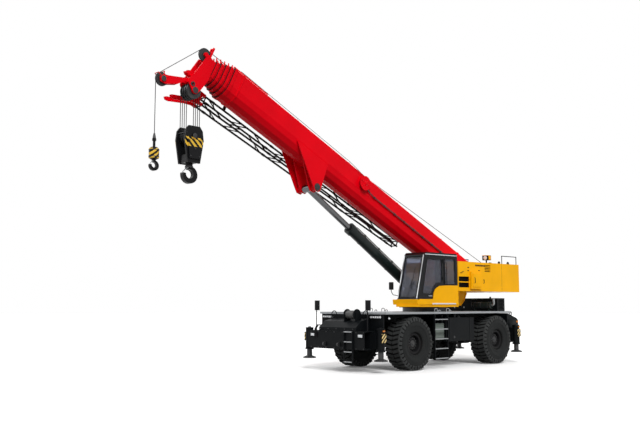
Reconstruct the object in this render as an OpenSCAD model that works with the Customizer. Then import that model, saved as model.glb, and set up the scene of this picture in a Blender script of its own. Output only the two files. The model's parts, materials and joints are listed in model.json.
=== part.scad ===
// Rough-terrain telescopic mobile crane on two steered axles.
// Frame: X forward, Y to the left, Z up, origin on the ground under the slew axis.

/* [Carrier] */
// Distance between the two axles
wheelbase = 5000; // [4800:50:5200]
// Width over the tyres
carrier_w = 3300; // [3200:20:3400]
// Height of the deck's top above the ground
deck_top = 2040; // [2020:10:2100]
// Thickness of the deck plate at its edge
deck_t = 70; // [40:5:75]
// Half the width of the deck
deck_half_w = 1630; // [1600:10:1660]
// Width of the main frame between the wheels
frame_w = 840; // [700:10:850]
// Underside of the main frame above the ground
frame_low = 1150; // [1120:10:1200]

/* [Wheels] */
// Outer diameter over the lugs
tyre_d = 1875; // [1800:5:1880]
// Width of a tyre
tyre_w = 720; // [640:10:740]
// Height of the lugs
lug_h = 48; // [30:2:60]
// Lugs on each half of a tyre
lug_count = 18; // [14:1:22]
// Bead radius of the rim
rim_r = 325; // [310:5:340]
// Distance of the kingpins from the middle
kingpin_y = 860; // [820:10:880]

/* [Outriggers] */
// Gap from the front axle to the front outrigger box
front_box_gap = 1580; // [1570:5:1620]
// Gap from the rear axle to the rear outrigger box
rear_box_gap = 1220; // [1200:5:1260]
// Width of one outrigger beam
beam_w = 330; // [300:5:350]
// Height of one outrigger beam
beam_h = 560; // [500:10:600]
// Underside of the outrigger boxes above the ground
box_low = 780; // [760:10:820]
// Half the length of the outrigger boxes
box_half_l = 1330; // [1300:10:1350]
// Distance of the jacks from the middle
jack_y = 1560; // [1540:10:1600]
// Height of the floats at rest above the ground
float_z = 400; // [350:10:450]
// Radius of a float
float_r = 230; // [200:10:240]

/* [Upper works] */
// Top of the slew ring above the ground
ring_top = 2200; // [2180:5:2220]
// Outer radius of the slew ring
ring_r = 850; // [800:10:880]
// Half the width of the housings and the counterweight
house_half_w = 1300; // [1250:10:1350]
// Underside of the housings above the ground
house_low = 2820; // [2800:10:2850]
// Top of the housings above the ground
house_top = 3960; // [3900:10:4000]
// Front of the housings behind the slew axis
house_front = 460; // [420:10:500]
// Front of the counterweight behind the slew axis
weight_front = 3390; // [3350:10:3450]
// Tail of the counterweight behind the slew axis
weight_tail = 4840; // [4700:20:4900]
// Thickness of the turntable's side plates
cheek_t = 60; // [40:5:70]

/* [Cab] */
// Inner side of the cab
cab_y0 = 600; // [590:5:620]
// Outer side of the cab
cab_y1 = 1550; // [1500:10:1580]
// Underside of the cab above the ground
cab_low = 2300; // [2290:5:2340]
// Roof of the cab above the ground
cab_top = 4200; // [4100:10:4240]
// Front of the cab at its floor
cab_front = 2220; // [2180:10:2260]
// Rear wall of the cab behind the slew axis
cab_rear = 70; // [40:5:100]
// Thickness of the cab's walls
cab_wall = 60; // [50:2:70]

/* [Boom] */
// Boom angle above level at rest
boom_angle = 25; // [22:1:28]
// Foot pin behind the slew axis
foot_x = 1816; // [1780:4:1860]
// Foot pin above the ground
foot_z = 3625; // [3600:5:3680]
// Length of the base section in front of its foot pin
base_len = 12930; // [12500:10:13200]
// Width of the base section
base_w = 850; // [820:10:860]
// Top of the base section above the foot pin's line
base_up = 620; // [580:10:640]
// Bottom of the base section below the foot pin's line
base_down = 400; // [380:5:410]
// Step between one section and the next inside it
nest_step = 40; // [36:1:42]
// Plate thickness of the sections
boom_wall = 12; // [8:1:14]
// How far each section's collar stands out of the last one
collar_step = 150; // [140:5:170]
// Foot pin radius
foot_pin_r = 90; // [70:5:100]
// Cylinder bracket's distance from the foot pin
luff_u = 8350; // [8200:10:8500]
// Cylinder pin below the foot pin's line
luff_v = 1010; // [1000:5:1040]
// Outer radius of the cylinder's barrel
barrel_r = 190; // [170:5:200]
// Radius of the cylinder's rod
rod_r = 105; // [90:5:115]
// Length of the cylinder's barrel from its foot pin
barrel_len = 4900; // [4700:20:5000]

/* [Head and hooks] */
// Radius of the head sheaves
sheave_r = 250; // [220:5:270]
// Main hook's drop from the head sheaves to its bowl
hook_drop = 2820; // [2780:10:2900]
// Auxiliary hook's drop from its sheave to its bowl
aux_drop = 2760; // [2600:10:2900]
// Rope radius
rope_r = 11; // [9:1:13]

/* [Hidden] */
$fn = 48;
run = 0.3;
red = "#d40d16";
yellow = "#f2a900";
black = "#1c1d1f";
grey = "#8d9397";
steel = "#b9bdc0";
glass = "#39444d";

axle_x = wheelbase / 2;
axle_z = tyre_d / 2;
wheel_y = (carrier_w - tyre_w) / 2;
deck_low = deck_top - deck_t;
front_box_x = axle_x + front_box_gap;
rear_box_x = axle_x + rear_box_gap;
deck_front = front_box_x - 20;
deck_rear = rear_box_x - 310;
deck_skin = 14;
deck_rim = 30;
deck_hoop_r = 75;
deck_hoop_t = 23;

frame_t = 30;
cross_t = 60;
cross_half_w = 1500;
tail_half_w = 900;
rib_half_w = 1450;
rib_h = 140;
saddle_l = 300;
saddle_w = 120;
saddle_y = 330;
axle_r = 140;
yoke_gap = 135;
yoke_t = 45;
yoke_w = 220;
kingpin_r = 60;
spindle_r = 95;
hub_in = wheel_y - kingpin_y - 90;
bead_half = tyre_w * 0.31;
lug_skew = 14;
shoulder_turn = 2.4;

ladder_w = 794;
ladder_x0 = axle_x - axle_z - 118 - ladder_w;
ladder_y = deck_half_w - 70;
ladder_low = 320;
rail_t = 24;
rung_d = 80;
rung_t = 30;
rung_pitch = 350;
nose_ladder_y = 400;
nose_ladder_w = 420;
nose_rung_d = 60;
nose_pitch = 337;
tank_half_w = 1480;
tank_low = 950;
hood_l = 520;
hood_h = 520;
hood_t = 40;
hood_half_w = 1400;
hood_eye_y = 900;
slot_h = 28;
silencer_r = 130;
silencer_l = 900;
silencer_y = 350;
lamp_up = 420;
lamp_h = 100;
mirror_y = 1250;
mirror_w = 200;
mirror_post = 900;
roof_rail_r = 16;
ring_t = 150;

beam_gap = 10;
beam_t = 16;
tank_t = 10;
house_t = 10;
weight_t = 80;
box_wall = 20;
box_len = 2 * beam_w + 4 * beam_gap + 3 * box_wall;
box_h = beam_h + 2 * beam_gap + 2 * box_wall;
beam_low = box_low + box_wall + beam_gap;
jack_tube_r = 140;
jack_rod_r = 95;
jack_top = box_low + box_h + 60;
beam_x = box_wall + beam_gap + beam_w / 2;
beam_pitch = beam_w + 2 * beam_gap + box_wall;

base_disc_r = 900;
base_disc_t = 60;
turn_low = ring_top + run;
turn_floor = turn_low + base_disc_t;
cheek_y = 520;
tail_end = weight_front;
bay_l = 910;
bay_half_w = cheek_y + cheek_t;
bay_low = 3400;
drum_r = 200;
flange_r = 320;
cyl_foot_z = 2460;
cyl_eye_r = 150;
cyl_eye_w = 300;
cyl_pin_r = 80;

section_count = 6;
bends = 7;
luff_rest = [-foot_x + luff_u * cos(boom_angle) + luff_v * sin(boom_angle),
    foot_z + luff_u * sin(boom_angle) - luff_v * cos(boom_angle)];
cyl_len = norm([luff_rest[0], luff_rest[1] - cyl_foot_z]);
cyl_angle = atan2(luff_rest[1] - cyl_foot_z, luff_rest[0]);
rod_eye_r = 130;
lug_gap = 400;
head_gap = 250;
head_u = base_len + (section_count - 1) * collar_step + head_gap;
main_sheave = [head_u - 120, -820];
aux_sheave = [head_u + 890, -1080];
top_sheave = [head_u, 465];
head_back = head_u - head_gap - collar_step + 10;
top_r = 220;
top_y = 90;
jib_pin = [30, -690];
jib_pin_r = 40;
sheave_pin_r = 60;
aux_r = 210;
reel_u = 6430;
reel_v = 290;
reel_r = 260;
roller_u = [1400, 4300, 7160, 9900];
roller_r = 30;
groove = 24;
sheave_bore = 60.3;
falls_y = 200;
falls = [-0.8 * falls_y, -0.27 * falls_y, 0.27 * falls_y, 0.8 * falls_y];

// Helpers

module block(x0, x1, y0, y1, z0, z1) {
    translate([x0, y0, z0]) cube([x1 - x0, y1 - y0, z1 - z0]);
}

// Plate with an outline in X and Z, from y0 to y1
module plate_y(points, y0, y1) {
    translate([0, y1, 0]) rotate([90, 0, 0]) linear_extrude(y1 - y0) polygon(points);
}

// Plate with an outline in Y and Z, from x0 to x1
module plate_x(points, x0, x1) {
    translate([x0, 0, 0]) rotate([90, 0, 90]) linear_extrude(x1 - x0) polygon(points);
}

module rod_y(x, z, r, y0, y1) {
    translate([x, y1, z]) rotate([90, 0, 0]) cylinder(r = r, h = y1 - y0);
}

module rod_x(y, z, r, x0, x1) {
    translate([x0, y, z]) rotate([0, 90, 0]) cylinder(r = r, h = x1 - x0);
}

// Straight bar between two points, with a few flat sides
module bar(p, q, r, sides = 8) {
    d = q - p;
    translate(p) rotate([0, acos(d[2] / norm(d)), atan2(d[1], d[0])])
        cylinder(r = r, h = norm(d), $fn = sides);
}

module both_sides() {
    children();
    mirror([0, 1, 0]) children();
}

module boom_frame() {
    translate([-foot_x, 0, foot_z]) rotate([0, -boom_angle, 0]) children();
}

// Carrier

module outrigger_box(x) {
    difference() {
        block(x, x + box_len, -box_half_l, box_half_l, box_low, box_low + box_h);
        for (i = [0, 1])
            block(x + box_wall + i * beam_pitch, x + box_wall + i * beam_pitch + beam_w + 2 * beam_gap,
                -box_half_l - 1, box_half_l + 1, box_low + box_wall, box_low + box_h - box_wall);
    }
    pad_z = box_low + box_wall + (beam_gap - run) / 2;
    for (i = [0, 1], s = [-1, 1])
        translate([x + beam_x + i * beam_pitch, s * (box_half_l - 100), pad_z])
            cube([beam_w * 0.7, 160, beam_gap - run], center = true);
}

module chassis() {
    tail_x = -rear_box_x;
    saddle_z = axle_z + axle_r + run;
    color(black) {
        difference() {
            block(tail_x, front_box_x, -frame_w / 2, frame_w / 2, frame_low, deck_low);
            block(tail_x + frame_t, front_box_x - frame_t, -frame_w / 2 + frame_t, frame_w / 2 - frame_t,
                frame_low + frame_t, deck_low - frame_t);
        }
        outrigger_box(front_box_x);
        outrigger_box(tail_x - box_len);
        block(front_box_x - cross_t, front_box_x, -cross_half_w, cross_half_w, box_low + box_h, deck_low);
        // Saddles that hold the axles
        for (s = [-1, 1], t = [-1, 1])
            translate([s * axle_x - saddle_l / 2, t * saddle_y - saddle_w / 2, saddle_z])
                cube([saddle_l, saddle_w, frame_low - saddle_z]);
        both_sides() {
            block(tail_x, tail_x + cross_t, frame_w / 2, tail_half_w, frame_low, deck_low);
            block(front_box_x - cross_t, front_box_x, frame_w / 2, cross_half_w, frame_low, deck_low);
            block(-cross_t, cross_t, frame_w / 2, rib_half_w, deck_low - rib_h, deck_low);
        }
    }
}

module deck() {
    color(grey) {
        difference() {
            block(-deck_rear, deck_front, -deck_half_w, deck_half_w, deck_low, deck_top);
            translate([0, 0, deck_low - 1]) cylinder(r = ring_r - ring_t, h = deck_t + 2);
            both_sides() for (x = [[-deck_rear + 40, -cross_t - 40], [cross_t + 40, deck_front - 80]])
                block(x[0], x[1], frame_w / 2 + 20, deck_half_w - deck_rim,
                    deck_low - 1, deck_top - deck_skin);
        }
        // Tie-down hoops along the deck's edge
        for (x = [ladder_x0 - 190, ladder_x0 + 430], s = [-1, 1])
            translate([x, s * (deck_half_w - 2 * deck_rim), deck_top]) rotate([90, 0, 0])
                difference() {
                    cylinder(r = deck_hoop_r, h = deck_hoop_t, center = true);
                    cylinder(r = deck_hoop_r - deck_hoop_t, h = 2 * deck_hoop_t, center = true);
                    translate([-2 * deck_hoop_r, -2 * deck_hoop_r, -deck_hoop_t])
                        cube([4 * deck_hoop_r, 2 * deck_hoop_r, 2 * deck_hoop_t]);
                }
    }
}

module axle_beam(x) {
    rod_y(x, axle_z, axle_r, -kingpin_y + 190, kingpin_y - 190);
    rod_x(0, axle_z, axle_r + 60, x - 230, x + 230);
    both_sides() {
        block(x - yoke_w / 2, x + yoke_w / 2, kingpin_y - 200, kingpin_y - 130,
            axle_z - yoke_gap - yoke_t, axle_z + yoke_gap + yoke_t);
        for (z = [axle_z + yoke_gap, axle_z - yoke_gap - yoke_t])
            difference() {
                union() {
                    block(x - yoke_w / 2, x + yoke_w / 2, kingpin_y - 140, kingpin_y, z, z + yoke_t);
                    translate([x, kingpin_y, z]) cylinder(r = yoke_w / 2, h = yoke_t);
                }
                translate([x, kingpin_y, z - 1]) cylinder(r = kingpin_r + run, h = yoke_t + 2);
            }
    }
}

module axles() {
    color(black) for (s = [-1, 1]) axle_beam(s * axle_x);
}

module knuckle(x) {
    body_h = 2 * (yoke_gap - run);
    translate([x, kingpin_y, axle_z]) {
        translate([0, 0, -body_h / 2]) cylinder(r = 105, h = body_h);
        cylinder(r = kingpin_r, h = 2 * (yoke_gap + yoke_t + 10), center = true);
        rotate([-90, 0, 0]) cylinder(r = spindle_r + 30, h = hub_in - run);
        rotate([-90, 0, 0]) cylinder(r = spindle_r, h = wheel_y - kingpin_y + 130);
    }
}

// Wheels, turned about Y at the origin, with the outer side towards plus Y

module tyre_shape() {
    r = tyre_d / 2;
    body_r = r - lug_h * 0.9;
    half = tyre_w / 2;
    rotate([-90, 0, 0]) rotate_extrude($fn = 64)
        polygon([[rim_r + run, -bead_half], [rim_r + 35, -bead_half],
            [rim_r + 90, -half * 0.86], [body_r * 0.74, -half],
            [body_r * 0.9, -half * 0.97], [body_r * 0.975, -half * 0.86], [body_r, -half * 0.68],
            [body_r, half * 0.68], [body_r * 0.975, half * 0.86], [body_r * 0.9, half * 0.97],
            [body_r * 0.74, half], [rim_r + 90, half * 0.86],
            [rim_r + 35, bead_half], [rim_r + run, bead_half],
            [rim_r + run, bead_half - 60], [rim_r + 60, bead_half - 45], [body_r * 0.72, half - 50],
            [body_r - 100, half * 0.7], [body_r - 75, 0],
            [body_r - 100, -half * 0.7], [body_r * 0.72, -half + 50],
            [rim_r + 60, -bead_half + 45], [rim_r + run, -bead_half + 60]]);
    // Skewed lugs whose outer corners lie on the tyre's diameter
    pitch = 360 / lug_count;
    lug_w = r * pitch * PI / 180 * 0.33;
    lug_l = half * 0.88;
    reach = (lug_w * cos(lug_skew) + lug_l * sin(lug_skew)) / 2;
    face_r = sqrt(r * r - reach * reach);
    for (s = [-1, 1], i = [0 : lug_count - 1])
        rotate([0, (i + s * 0.25) * pitch, 0])
            translate([0, s * half * 0.47, face_r - lug_h])
                rotate([0, 0, s * lug_skew])
                    translate([-lug_w / 2, -lug_l / 2, 0]) cube([lug_w, lug_l, lug_h]);
    // Shoulder blocks that carry each lug down the side wall
    for (s = [-1, 1], i = [0 : lug_count - 1])
        rotate([0, (i + s * 0.25) * pitch + s * shoulder_turn, 0])
            plate_x([[s * half * 0.80, face_r - 4], [s * half * 0.91, face_r - 26],
                [s * half * 0.995, body_r * 0.9], [s * half * 0.97, body_r * 0.84],
                [s * half * 0.80, body_r * 0.84]], -lug_w * 0.5, lug_w * 0.5);
}

module rim_shape() {
    lip = bead_half + run;
    rotate([-90, 0, 0]) rotate_extrude()
        polygon([[spindle_r + run, -90], [200, -90], [215, 20], [rim_r - 60, 60], [rim_r - 45, -lip],
            [rim_r + 28, -lip - 25], [rim_r + 28, -lip], [rim_r, -lip], [rim_r, lip],
            [rim_r + 28, lip], [rim_r + 28, lip + 25], [rim_r - 30, lip + 10], [rim_r - 60, 110],
            [235, 90], [220, 150], [130, 170], [spindle_r + run, 170]]);
}

module at_wheel(x, side) {
    translate([x, side * wheel_y, axle_z]) mirror([0, side < 0 ? 1 : 0, 0]) children();
}

// Outriggers: the beam of the left side, at its own X

module beam(x, side) {
    mirror([0, side < 0 ? 1 : 0, 0]) difference() {
        union() {
            block(x - beam_w / 2, x + beam_w / 2, -box_half_l + 40, jack_y - jack_tube_r * 0.6,
                beam_low, beam_low + beam_h);
            translate([x, jack_y, box_low - 40]) cylinder(r = jack_tube_r, h = jack_top - box_low + 40);
            block(x - beam_w / 2 + 5, x + beam_w / 2 - 5, box_half_l + 40, box_half_l + 62,
                beam_low - 20, beam_low + beam_h + 20);
        }
        translate([x, jack_y, box_low - 41]) cylinder(r = jack_rod_r + run, h = jack_top - box_low - 20);
        block(x - beam_w / 2 + beam_t, x + beam_w / 2 - beam_t, -box_half_l + 39, box_half_l - 60,
            beam_low + beam_t, beam_low + beam_h - beam_t);
    }
}

module jack(x, side) {
    translate([x, side * jack_y, 0]) {
        translate([0, 0, float_z + 60]) cylinder(r = jack_rod_r, h = jack_top - 120 - float_z - 60);
        translate([0, 0, float_z + 30]) cylinder(r1 = 170, r2 = 110, h = 50);
        translate([0, 0, float_z]) cylinder(r = float_r, h = 32);
    }
}

front_beam_x = [front_box_x + beam_x, front_box_x + beam_x + beam_pitch];
rear_beam_x = [-rear_box_x - beam_x, -rear_box_x - beam_x - beam_pitch];

module engine() {
    low = frame_low + frame_t;
    color(steel) block(-rear_box_x + 420, -rear_box_x + 1650, -300, 300, low, low + 700);
}

module engine_hood() {
    x0 = -deck_rear + 20;
    x1 = x0 + hood_l;
    top = deck_top + hood_h;
    cell_w = (2 * hood_half_w - 4 * hood_t) / 3;
    color(black) {
        difference() {
            block(x0, x1, -hood_half_w, hood_half_w, deck_top, top);
            for (k = [0 : 2])
                translate([x0 + hood_t, -hood_half_w + hood_t + k * (cell_w + hood_t), deck_top - 1])
                    cube([hood_l - 2 * hood_t, cell_w, hood_h - hood_t + 1]);
            // Air slots in the ends and the rear wall
            for (k = [0 : 6]) {
                z = deck_top + 3 * slot_h + k * 2 * slot_h;
                both_sides() block(x0 + 90, x1 - 90, hood_half_w - 50, hood_half_w + 50, z, z + slot_h);
                for (n = [-1, 0, 1])
                    translate([x0 - 1, n * (cell_w + hood_t) - cell_w / 3, z])
                        cube([hood_t + 2, cell_w * 2 / 3, slot_h]);
            }
        }
        // Lifting eyes on the hood's top
        both_sides() plate_y([[x0 + 200, top], [x0 + 320, top], [x0 + 300, top + 60], [x0 + 220, top + 60]],
            hood_eye_y - 10, hood_eye_y + 10);
    }
}

module silencer() {
    x = -deck_rear + hood_l + 200;
    z = deck_top + silencer_r + 110;
    color(steel) {
        rod_y(x, z, silencer_r, silencer_y, silencer_y + silencer_l);
        for (y = [silencer_y + 100, silencer_y + silencer_l - 140])
            block(x - 60, x + 60, y, y + 40, deck_top, z - 40);
    }
}

module ladders() {
    face = front_box_x + box_len;
    top = box_low + box_h;
    color(steel) {
        both_sides() {
            for (x = [ladder_x0, ladder_x0 + ladder_w - rail_t])
                block(x, x + rail_t, ladder_y, ladder_y + rung_d, ladder_low, deck_low);
            for (k = [0 : 4])
                block(ladder_x0 + rail_t, ladder_x0 + ladder_w - rail_t, ladder_y, ladder_y + rung_d,
                    ladder_low + rung_t + k * rung_pitch, ladder_low + 2 * rung_t + k * rung_pitch);
        }
        for (y = [nose_ladder_y, nose_ladder_y + nose_ladder_w - rail_t])
            block(face, face + nose_rung_d, y, y + rail_t, ladder_low, top);
        for (k = [0 : 3])
            block(face, face + nose_rung_d, nose_ladder_y + rail_t, nose_ladder_y + nose_ladder_w - rail_t,
                ladder_low + rung_t + k * nose_pitch, ladder_low + 2 * rung_t + k * nose_pitch);
    }
}

module lamps() {
    face = front_box_x + box_len;
    tail = -rear_box_x - box_len;
    z = box_low + lamp_up;
    color("#e8ecee") both_sides() {
        block(front_box_x, front_box_x + 70, cross_half_w - 550, cross_half_w - 100,
            deck_low - 130, deck_low - 60);
        block(face, face + 45, box_half_l - 250, box_half_l - 90, z, z + lamp_h);
        block(tail - 40, tail, box_half_l - 630, box_half_l - 230, z, z + lamp_h);
    }
}

module deck_mirrors() {
    x = front_box_x + box_len - 250;
    top = box_low + box_h;
    color(black) both_sides() {
        translate([x, mirror_y, top]) cylinder(r = 18, h = mirror_post);
        block(x - 60, x, mirror_y - mirror_w / 2, mirror_y + mirror_w / 2,
            top + mirror_post - 200, top + mirror_post + 150);
    }
}

module slew_ring() {
    color(grey) difference() {
        translate([0, 0, deck_top]) cylinder(r = ring_r, h = ring_top - deck_top);
        translate([0, 0, deck_top - 1]) cylinder(r = ring_r - ring_t, h = ring_top - deck_top + 2);
    }
}

module side_tanks() {
    x0 = -axle_x + 1350;
    x1 = ladder_x0 - 50;
    top = deck_low - 150;
    color(black) both_sides() difference() {
        block(x0, x1, frame_w / 2, tank_half_w, tank_low, top);
        block(x0 + tank_t, x1 - tank_t, frame_w / 2 - 1, tank_half_w - tank_t,
            tank_low + tank_t, top - tank_t);
    }
}

module front_winch() {
    top = box_low + box_h;
    x0 = front_box_x + 40;
    x1 = front_box_x + box_len - 40;
    drum_z = top + 560;
    color(black) {
        // Sloped cover over the valves, with the winch drum between two cheeks
        plate_y([[x0, top], [x1, top], [x1, top + 120], [x0 + 420, top + 330], [x0, top + 430]], -900, 900);
        for (y = [120, 640])
            plate_y([[x0 + 120, top + 300], [x0 + 480, top + 200], [x0 + 430, drum_z + 60],
                [x0 + 350, drum_z + 120], [x0 + 230, drum_z + 60]], y, y + 30);
        rod_y(x0 + 330, drum_z, 45, 120, 670);
        rod_y(x0 + 330, drum_z, 120, 150, 640);
        for (y = [150, 615]) rod_y(x0 + 330, drum_z, 190, y, y + 25);
        // Grab hoops
        for (y = [-760, 780]) hoop(x0 + 60, y, top + 420, 240, 260, 16);
    }
}

// Upright hoop of round bar in the YZ plane, on a foot at z
module hoop(x, y, z, w, h, r) {
    for (s = [-1, 1]) translate([x, y + s * w / 2, z - 20]) cylinder(r = r, h = h - w / 2 + 20);
    translate([x, y, z + h - w / 2]) rotate([0, 90, 0]) rotate([0, 0, 90])
        rotate_extrude(angle = 180) translate([w / 2, 0]) circle(r = r, $fn = 24);
}

// Upper works

module turntable() {
    color(yellow) difference() {
        union() {
            translate([0, 0, turn_low]) cylinder(r = base_disc_r, h = base_disc_t);
            both_sides() plate_y([[700, turn_floor], [700, turn_floor + 150], [-300, turn_floor + 420],
                [-foot_x + 450, foot_z - 100], [-foot_x + 260, foot_z + 240], [-foot_x - 260, foot_z + 240],
                [-foot_x - 700, foot_z - 60], [-tail_end, foot_z - 100], [-tail_end, house_low],
                [-1150, house_low - 20], [-850, turn_floor]], cheek_y, cheek_y + cheek_t);
            rod_y(-foot_x, foot_z, foot_pin_r, -cheek_y - 1, cheek_y + 1);
            both_sides() plate_y([[-170, turn_floor - 1], [170, turn_floor - 1], [cyl_eye_r, cyl_foot_z + 40],
                [0, cyl_foot_z + cyl_eye_r + 10], [-cyl_eye_r, cyl_foot_z + 40]],
                cyl_eye_w / 2 + 10, cyl_eye_w / 2 + 70);
            rod_y(0, cyl_foot_z, cyl_pin_r, -cyl_eye_w / 2 - 11, cyl_eye_w / 2 + 11);
        }
    }
}

// Bracket beside the turntable that carries the cab
module cab_platform() {
    low = cab_low - 80;
    color(yellow) difference() {
        union() {
            block(-cab_rear - 30, cab_front + 120, cheek_y + cheek_t, cab_y1, low, cab_low);
            block(-cab_rear - 30, 700, cheek_y + cheek_t, cab_y0, low, cab_low + 60);
        }
        translate([0, 0, low - 1]) cylinder(r = base_disc_r + run, h = turn_floor + run - low + 1);
    }
}

module counterweight() {
    c = 180;
    pocket_w = house_half_w - 260;
    color(yellow) difference() {
        translate([0, 0, house_low]) linear_extrude(house_top - house_low)
            polygon([[-weight_front, -house_half_w], [-weight_front, house_half_w],
                [-weight_tail + c, house_half_w], [-weight_tail, house_half_w - c],
                [-weight_tail, -house_half_w + c], [-weight_tail + c, -house_half_w]]);
        // Two pockets open to the front, with a rib between them
        for (y = [-house_half_w + 200, 60])
            block(-weight_tail + c, -weight_front + 1, y, y + pocket_w,
                house_low + weight_t, bay_low - weight_t);
        // Bay for the rear hoist winch
        block(-weight_front - bay_l, -weight_front + 1, -bay_half_w, bay_half_w, bay_low, house_top + 1);
    }
}

module rear_housing() {
    slot_h = 30;
    color(yellow) both_sides() {
        difference() {
            block(-weight_front, -house_front, cheek_y + cheek_t, house_half_w, house_low, house_top);
            block(-weight_front + house_t, -house_front - house_t,
                cheek_y + cheek_t - 1, house_half_w - house_t, house_low + house_t, house_top - house_t);
            for (k = [0, 1])
                block(-1150, -490, house_half_w - 60, house_half_w + 1,
                    house_low + 140 + k * 230, house_low + 330 + k * 230);
            for (k = [0 : 4])
                block(-2600, -2200, house_half_w - 60, house_half_w + 1,
                    house_top - 120 - k * 2 * slot_h, house_top - 120 + slot_h - k * 2 * slot_h);
            block(-2500, -2050, cheek_y + cheek_t + 120, house_half_w - 200, house_top - 60, house_top + 1);
        }
        // Service door that stands proud, with its frame
        block(-1880, -1180, house_half_w, house_half_w + 90, house_low + 90, house_low + 760);
        block(-1800, -1260, house_half_w + 90, house_half_w + 110, house_low + 170, house_low + 680);
    }
}

// Work lamp and handrail on the housing's and the counterweight's top
module roof_fittings() {
    lamp_x = -weight_front + 485;
    rail_y = house_half_w - 80;
    rail_z = house_top + 320;
    rail_x = [-weight_tail + 250, -weight_front - 150];
    color(black) {
        block(lamp_x, lamp_x + 40, 900, 940, house_top, house_top + 140);
        block(lamp_x - 110, lamp_x + 100, 780, 1060, house_top + 140, house_top + 330);
        both_sides() {
            for (x = rail_x)
                translate([x, rail_y, house_top]) cylinder(r = roof_rail_r, h = rail_z - house_top);
            rod_x(rail_y, rail_z, roof_rail_r, rail_x[0] - roof_rail_r, rail_x[1] + roof_rail_r);
        }
    }
}

module winches() {
    // Place, height and shaft end of the front drum and of the drum in the counterweight
    drums = [[-weight_front + 440, foot_z - 60, cheek_y], [-weight_front - 560, bay_low + 350, bay_half_w]];
    color(black) for (d = drums) {
        rod_y(d[0], d[1], drum_r, -d[2], d[2]);
        both_sides() rod_y(d[0], d[1], flange_r, 340, 380);
    }
}

// Cab

cab_nose = [cab_front + 90, cab_low + 190];
cab_brow = [cab_front - 340, cab_top - 90];

function cab_outline(t) = [[-cab_rear + t, cab_low + t], [cab_front - t, cab_low + t],
    [cab_nose[0] - t, cab_nose[1]], [cab_brow[0] - t, cab_brow[1]], [cab_brow[0] - 110 - t / 2, cab_top - t],
    [-cab_rear + 60 + t, cab_top - t], [-cab_rear + t, cab_top - 80]];

door_x0 = 780;
door_low = cab_low + 220;
function door_outline(g) = [[1420 + g, door_low + g], [cab_nose[0] - 200 - g, door_low + g],
    [cab_nose[0] - 190 - g, door_low + 60], [cab_brow[0] - 90 - g, cab_top - 150 - g],
    [door_x0 + g, cab_top - 150 - g], [door_x0 + g, cab_low + 720 + g],
    [1080 + g, cab_low + 690 + g], [1300 + g, cab_low + 580 + g], [1400 + g, cab_low + 420 + g]];
quarter_outline = [[60, cab_low + 760], [door_x0 - 90, cab_low + 760],
    [door_x0 - 90, cab_top - 200], [80, cab_top - 200]];
far_outline = [[60, cab_low + 700], [cab_nose[0] - 230, cab_low + 500],
    [cab_brow[0] - 130, cab_top - 200], [80, cab_top - 200]];
wind_low = cab_nose[1] + 60;
wind_top = cab_brow[1] - 60;
wind_run = (cab_nose[0] - cab_brow[0]) / (cab_brow[1] - cab_nose[1]);

function wind_x(z) = cab_nose[0] - (z - cab_nose[1]) * wind_run;

module wind_pane(x_out, x_in) {
    plate_y([[wind_x(wind_low) + x_out, wind_low], [wind_x(wind_top) + x_out, wind_top],
        [wind_x(wind_top) - x_in, wind_top], [wind_x(wind_low) - x_in, wind_low]], cab_y0 + 90, cab_y1 - 90);
}

rear_pane = [cab_y0 + 120, cab_y1 - 120, cab_low + 900, cab_top - 260];
roof_pane = [300, 1350, cab_y0 + 160, cab_y1 - 160];

// Rear and roof windows, from a to b inwards of the cab's outside
module rear_window(a, b) {
    block(-cab_rear + a, -cab_rear + b, rear_pane[0], rear_pane[1], rear_pane[2], rear_pane[3]);
}

module roof_window(a, b) {
    block(roof_pane[0], roof_pane[1], roof_pane[2], roof_pane[3], cab_top - b, cab_top - a);
}

module cab_shell() {
    color(black) difference() {
        plate_y(cab_outline(0), cab_y0, cab_y1);
        plate_y(cab_outline(cab_wall), cab_y0 + cab_wall, cab_y1 - cab_wall);
        plate_y(door_outline(0), cab_y1 - cab_wall - 1, cab_y1 + 1);
        plate_y(quarter_outline, cab_y1 - cab_wall - 1, cab_y1 + 1);
        plate_y(far_outline, cab_y0 - 1, cab_y0 + cab_wall + 1);
        wind_pane(100, cab_wall * 2);
        rear_window(-1, cab_wall + 1);
        roof_window(-1, cab_wall + 1);
    }
}

module cab_glass() {
    mid = cab_wall / 2;
    color(glass) {
        plate_y(quarter_outline, cab_y1 - mid - 5, cab_y1 - mid + 5);
        plate_y(far_outline, cab_y0 + mid - 5, cab_y0 + mid + 5);
        wind_pane(-20, 32);
        rear_window(mid - 5, mid + 5);
        roof_window(mid - 5, mid + 5);
    }
}

module cab_skirt() {
    color(yellow) {
        plate_y([[-cab_rear, cab_low], [cab_front, cab_low], [cab_front + 60, cab_low + 130],
            [cab_front, door_low - 20], [1440, door_low - 20], [1390, cab_low + 420], [1290, cab_low + 570],
            [1070, cab_low + 680], [700, cab_low + 705], [-cab_rear, cab_low + 715]], cab_y1, cab_y1 + 30);
        plate_y([[cab_front, cab_low], [cab_front + 100, cab_low], [cab_front + 130, cab_low + 180],
            [cab_nose[0], cab_nose[1]]], cab_y0 - 180, cab_y1 + 30);
    }
}

door_gap = 8;

door_window = [[1500, door_low + 160], [cab_nose[0] - 300, door_low + 200],
    [cab_brow[0] - 170, cab_top - 240], [door_x0 + 100, cab_top - 240], [door_x0 + 100, cab_low + 820],
    [1120, cab_low + 790], [1360, cab_low + 660]];

module cab_door() {
    color(black) {
        difference() {
            plate_y(door_outline(door_gap), cab_y1 - cab_wall, cab_y1);
            plate_y(door_window, cab_y1 - cab_wall - 1, cab_y1 + 1);
        }
        for (z = [cab_low + 900, cab_top - 360])
            translate([door_x0 - 12, cab_y1 + 22, z]) cylinder(r = 20, h = 120);
        for (z = [cab_low + 900, cab_top - 360])
            block(door_x0 - 12, door_x0 + 60, cab_y1, cab_y1 + 22, z, z + 120);
    }
}

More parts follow.
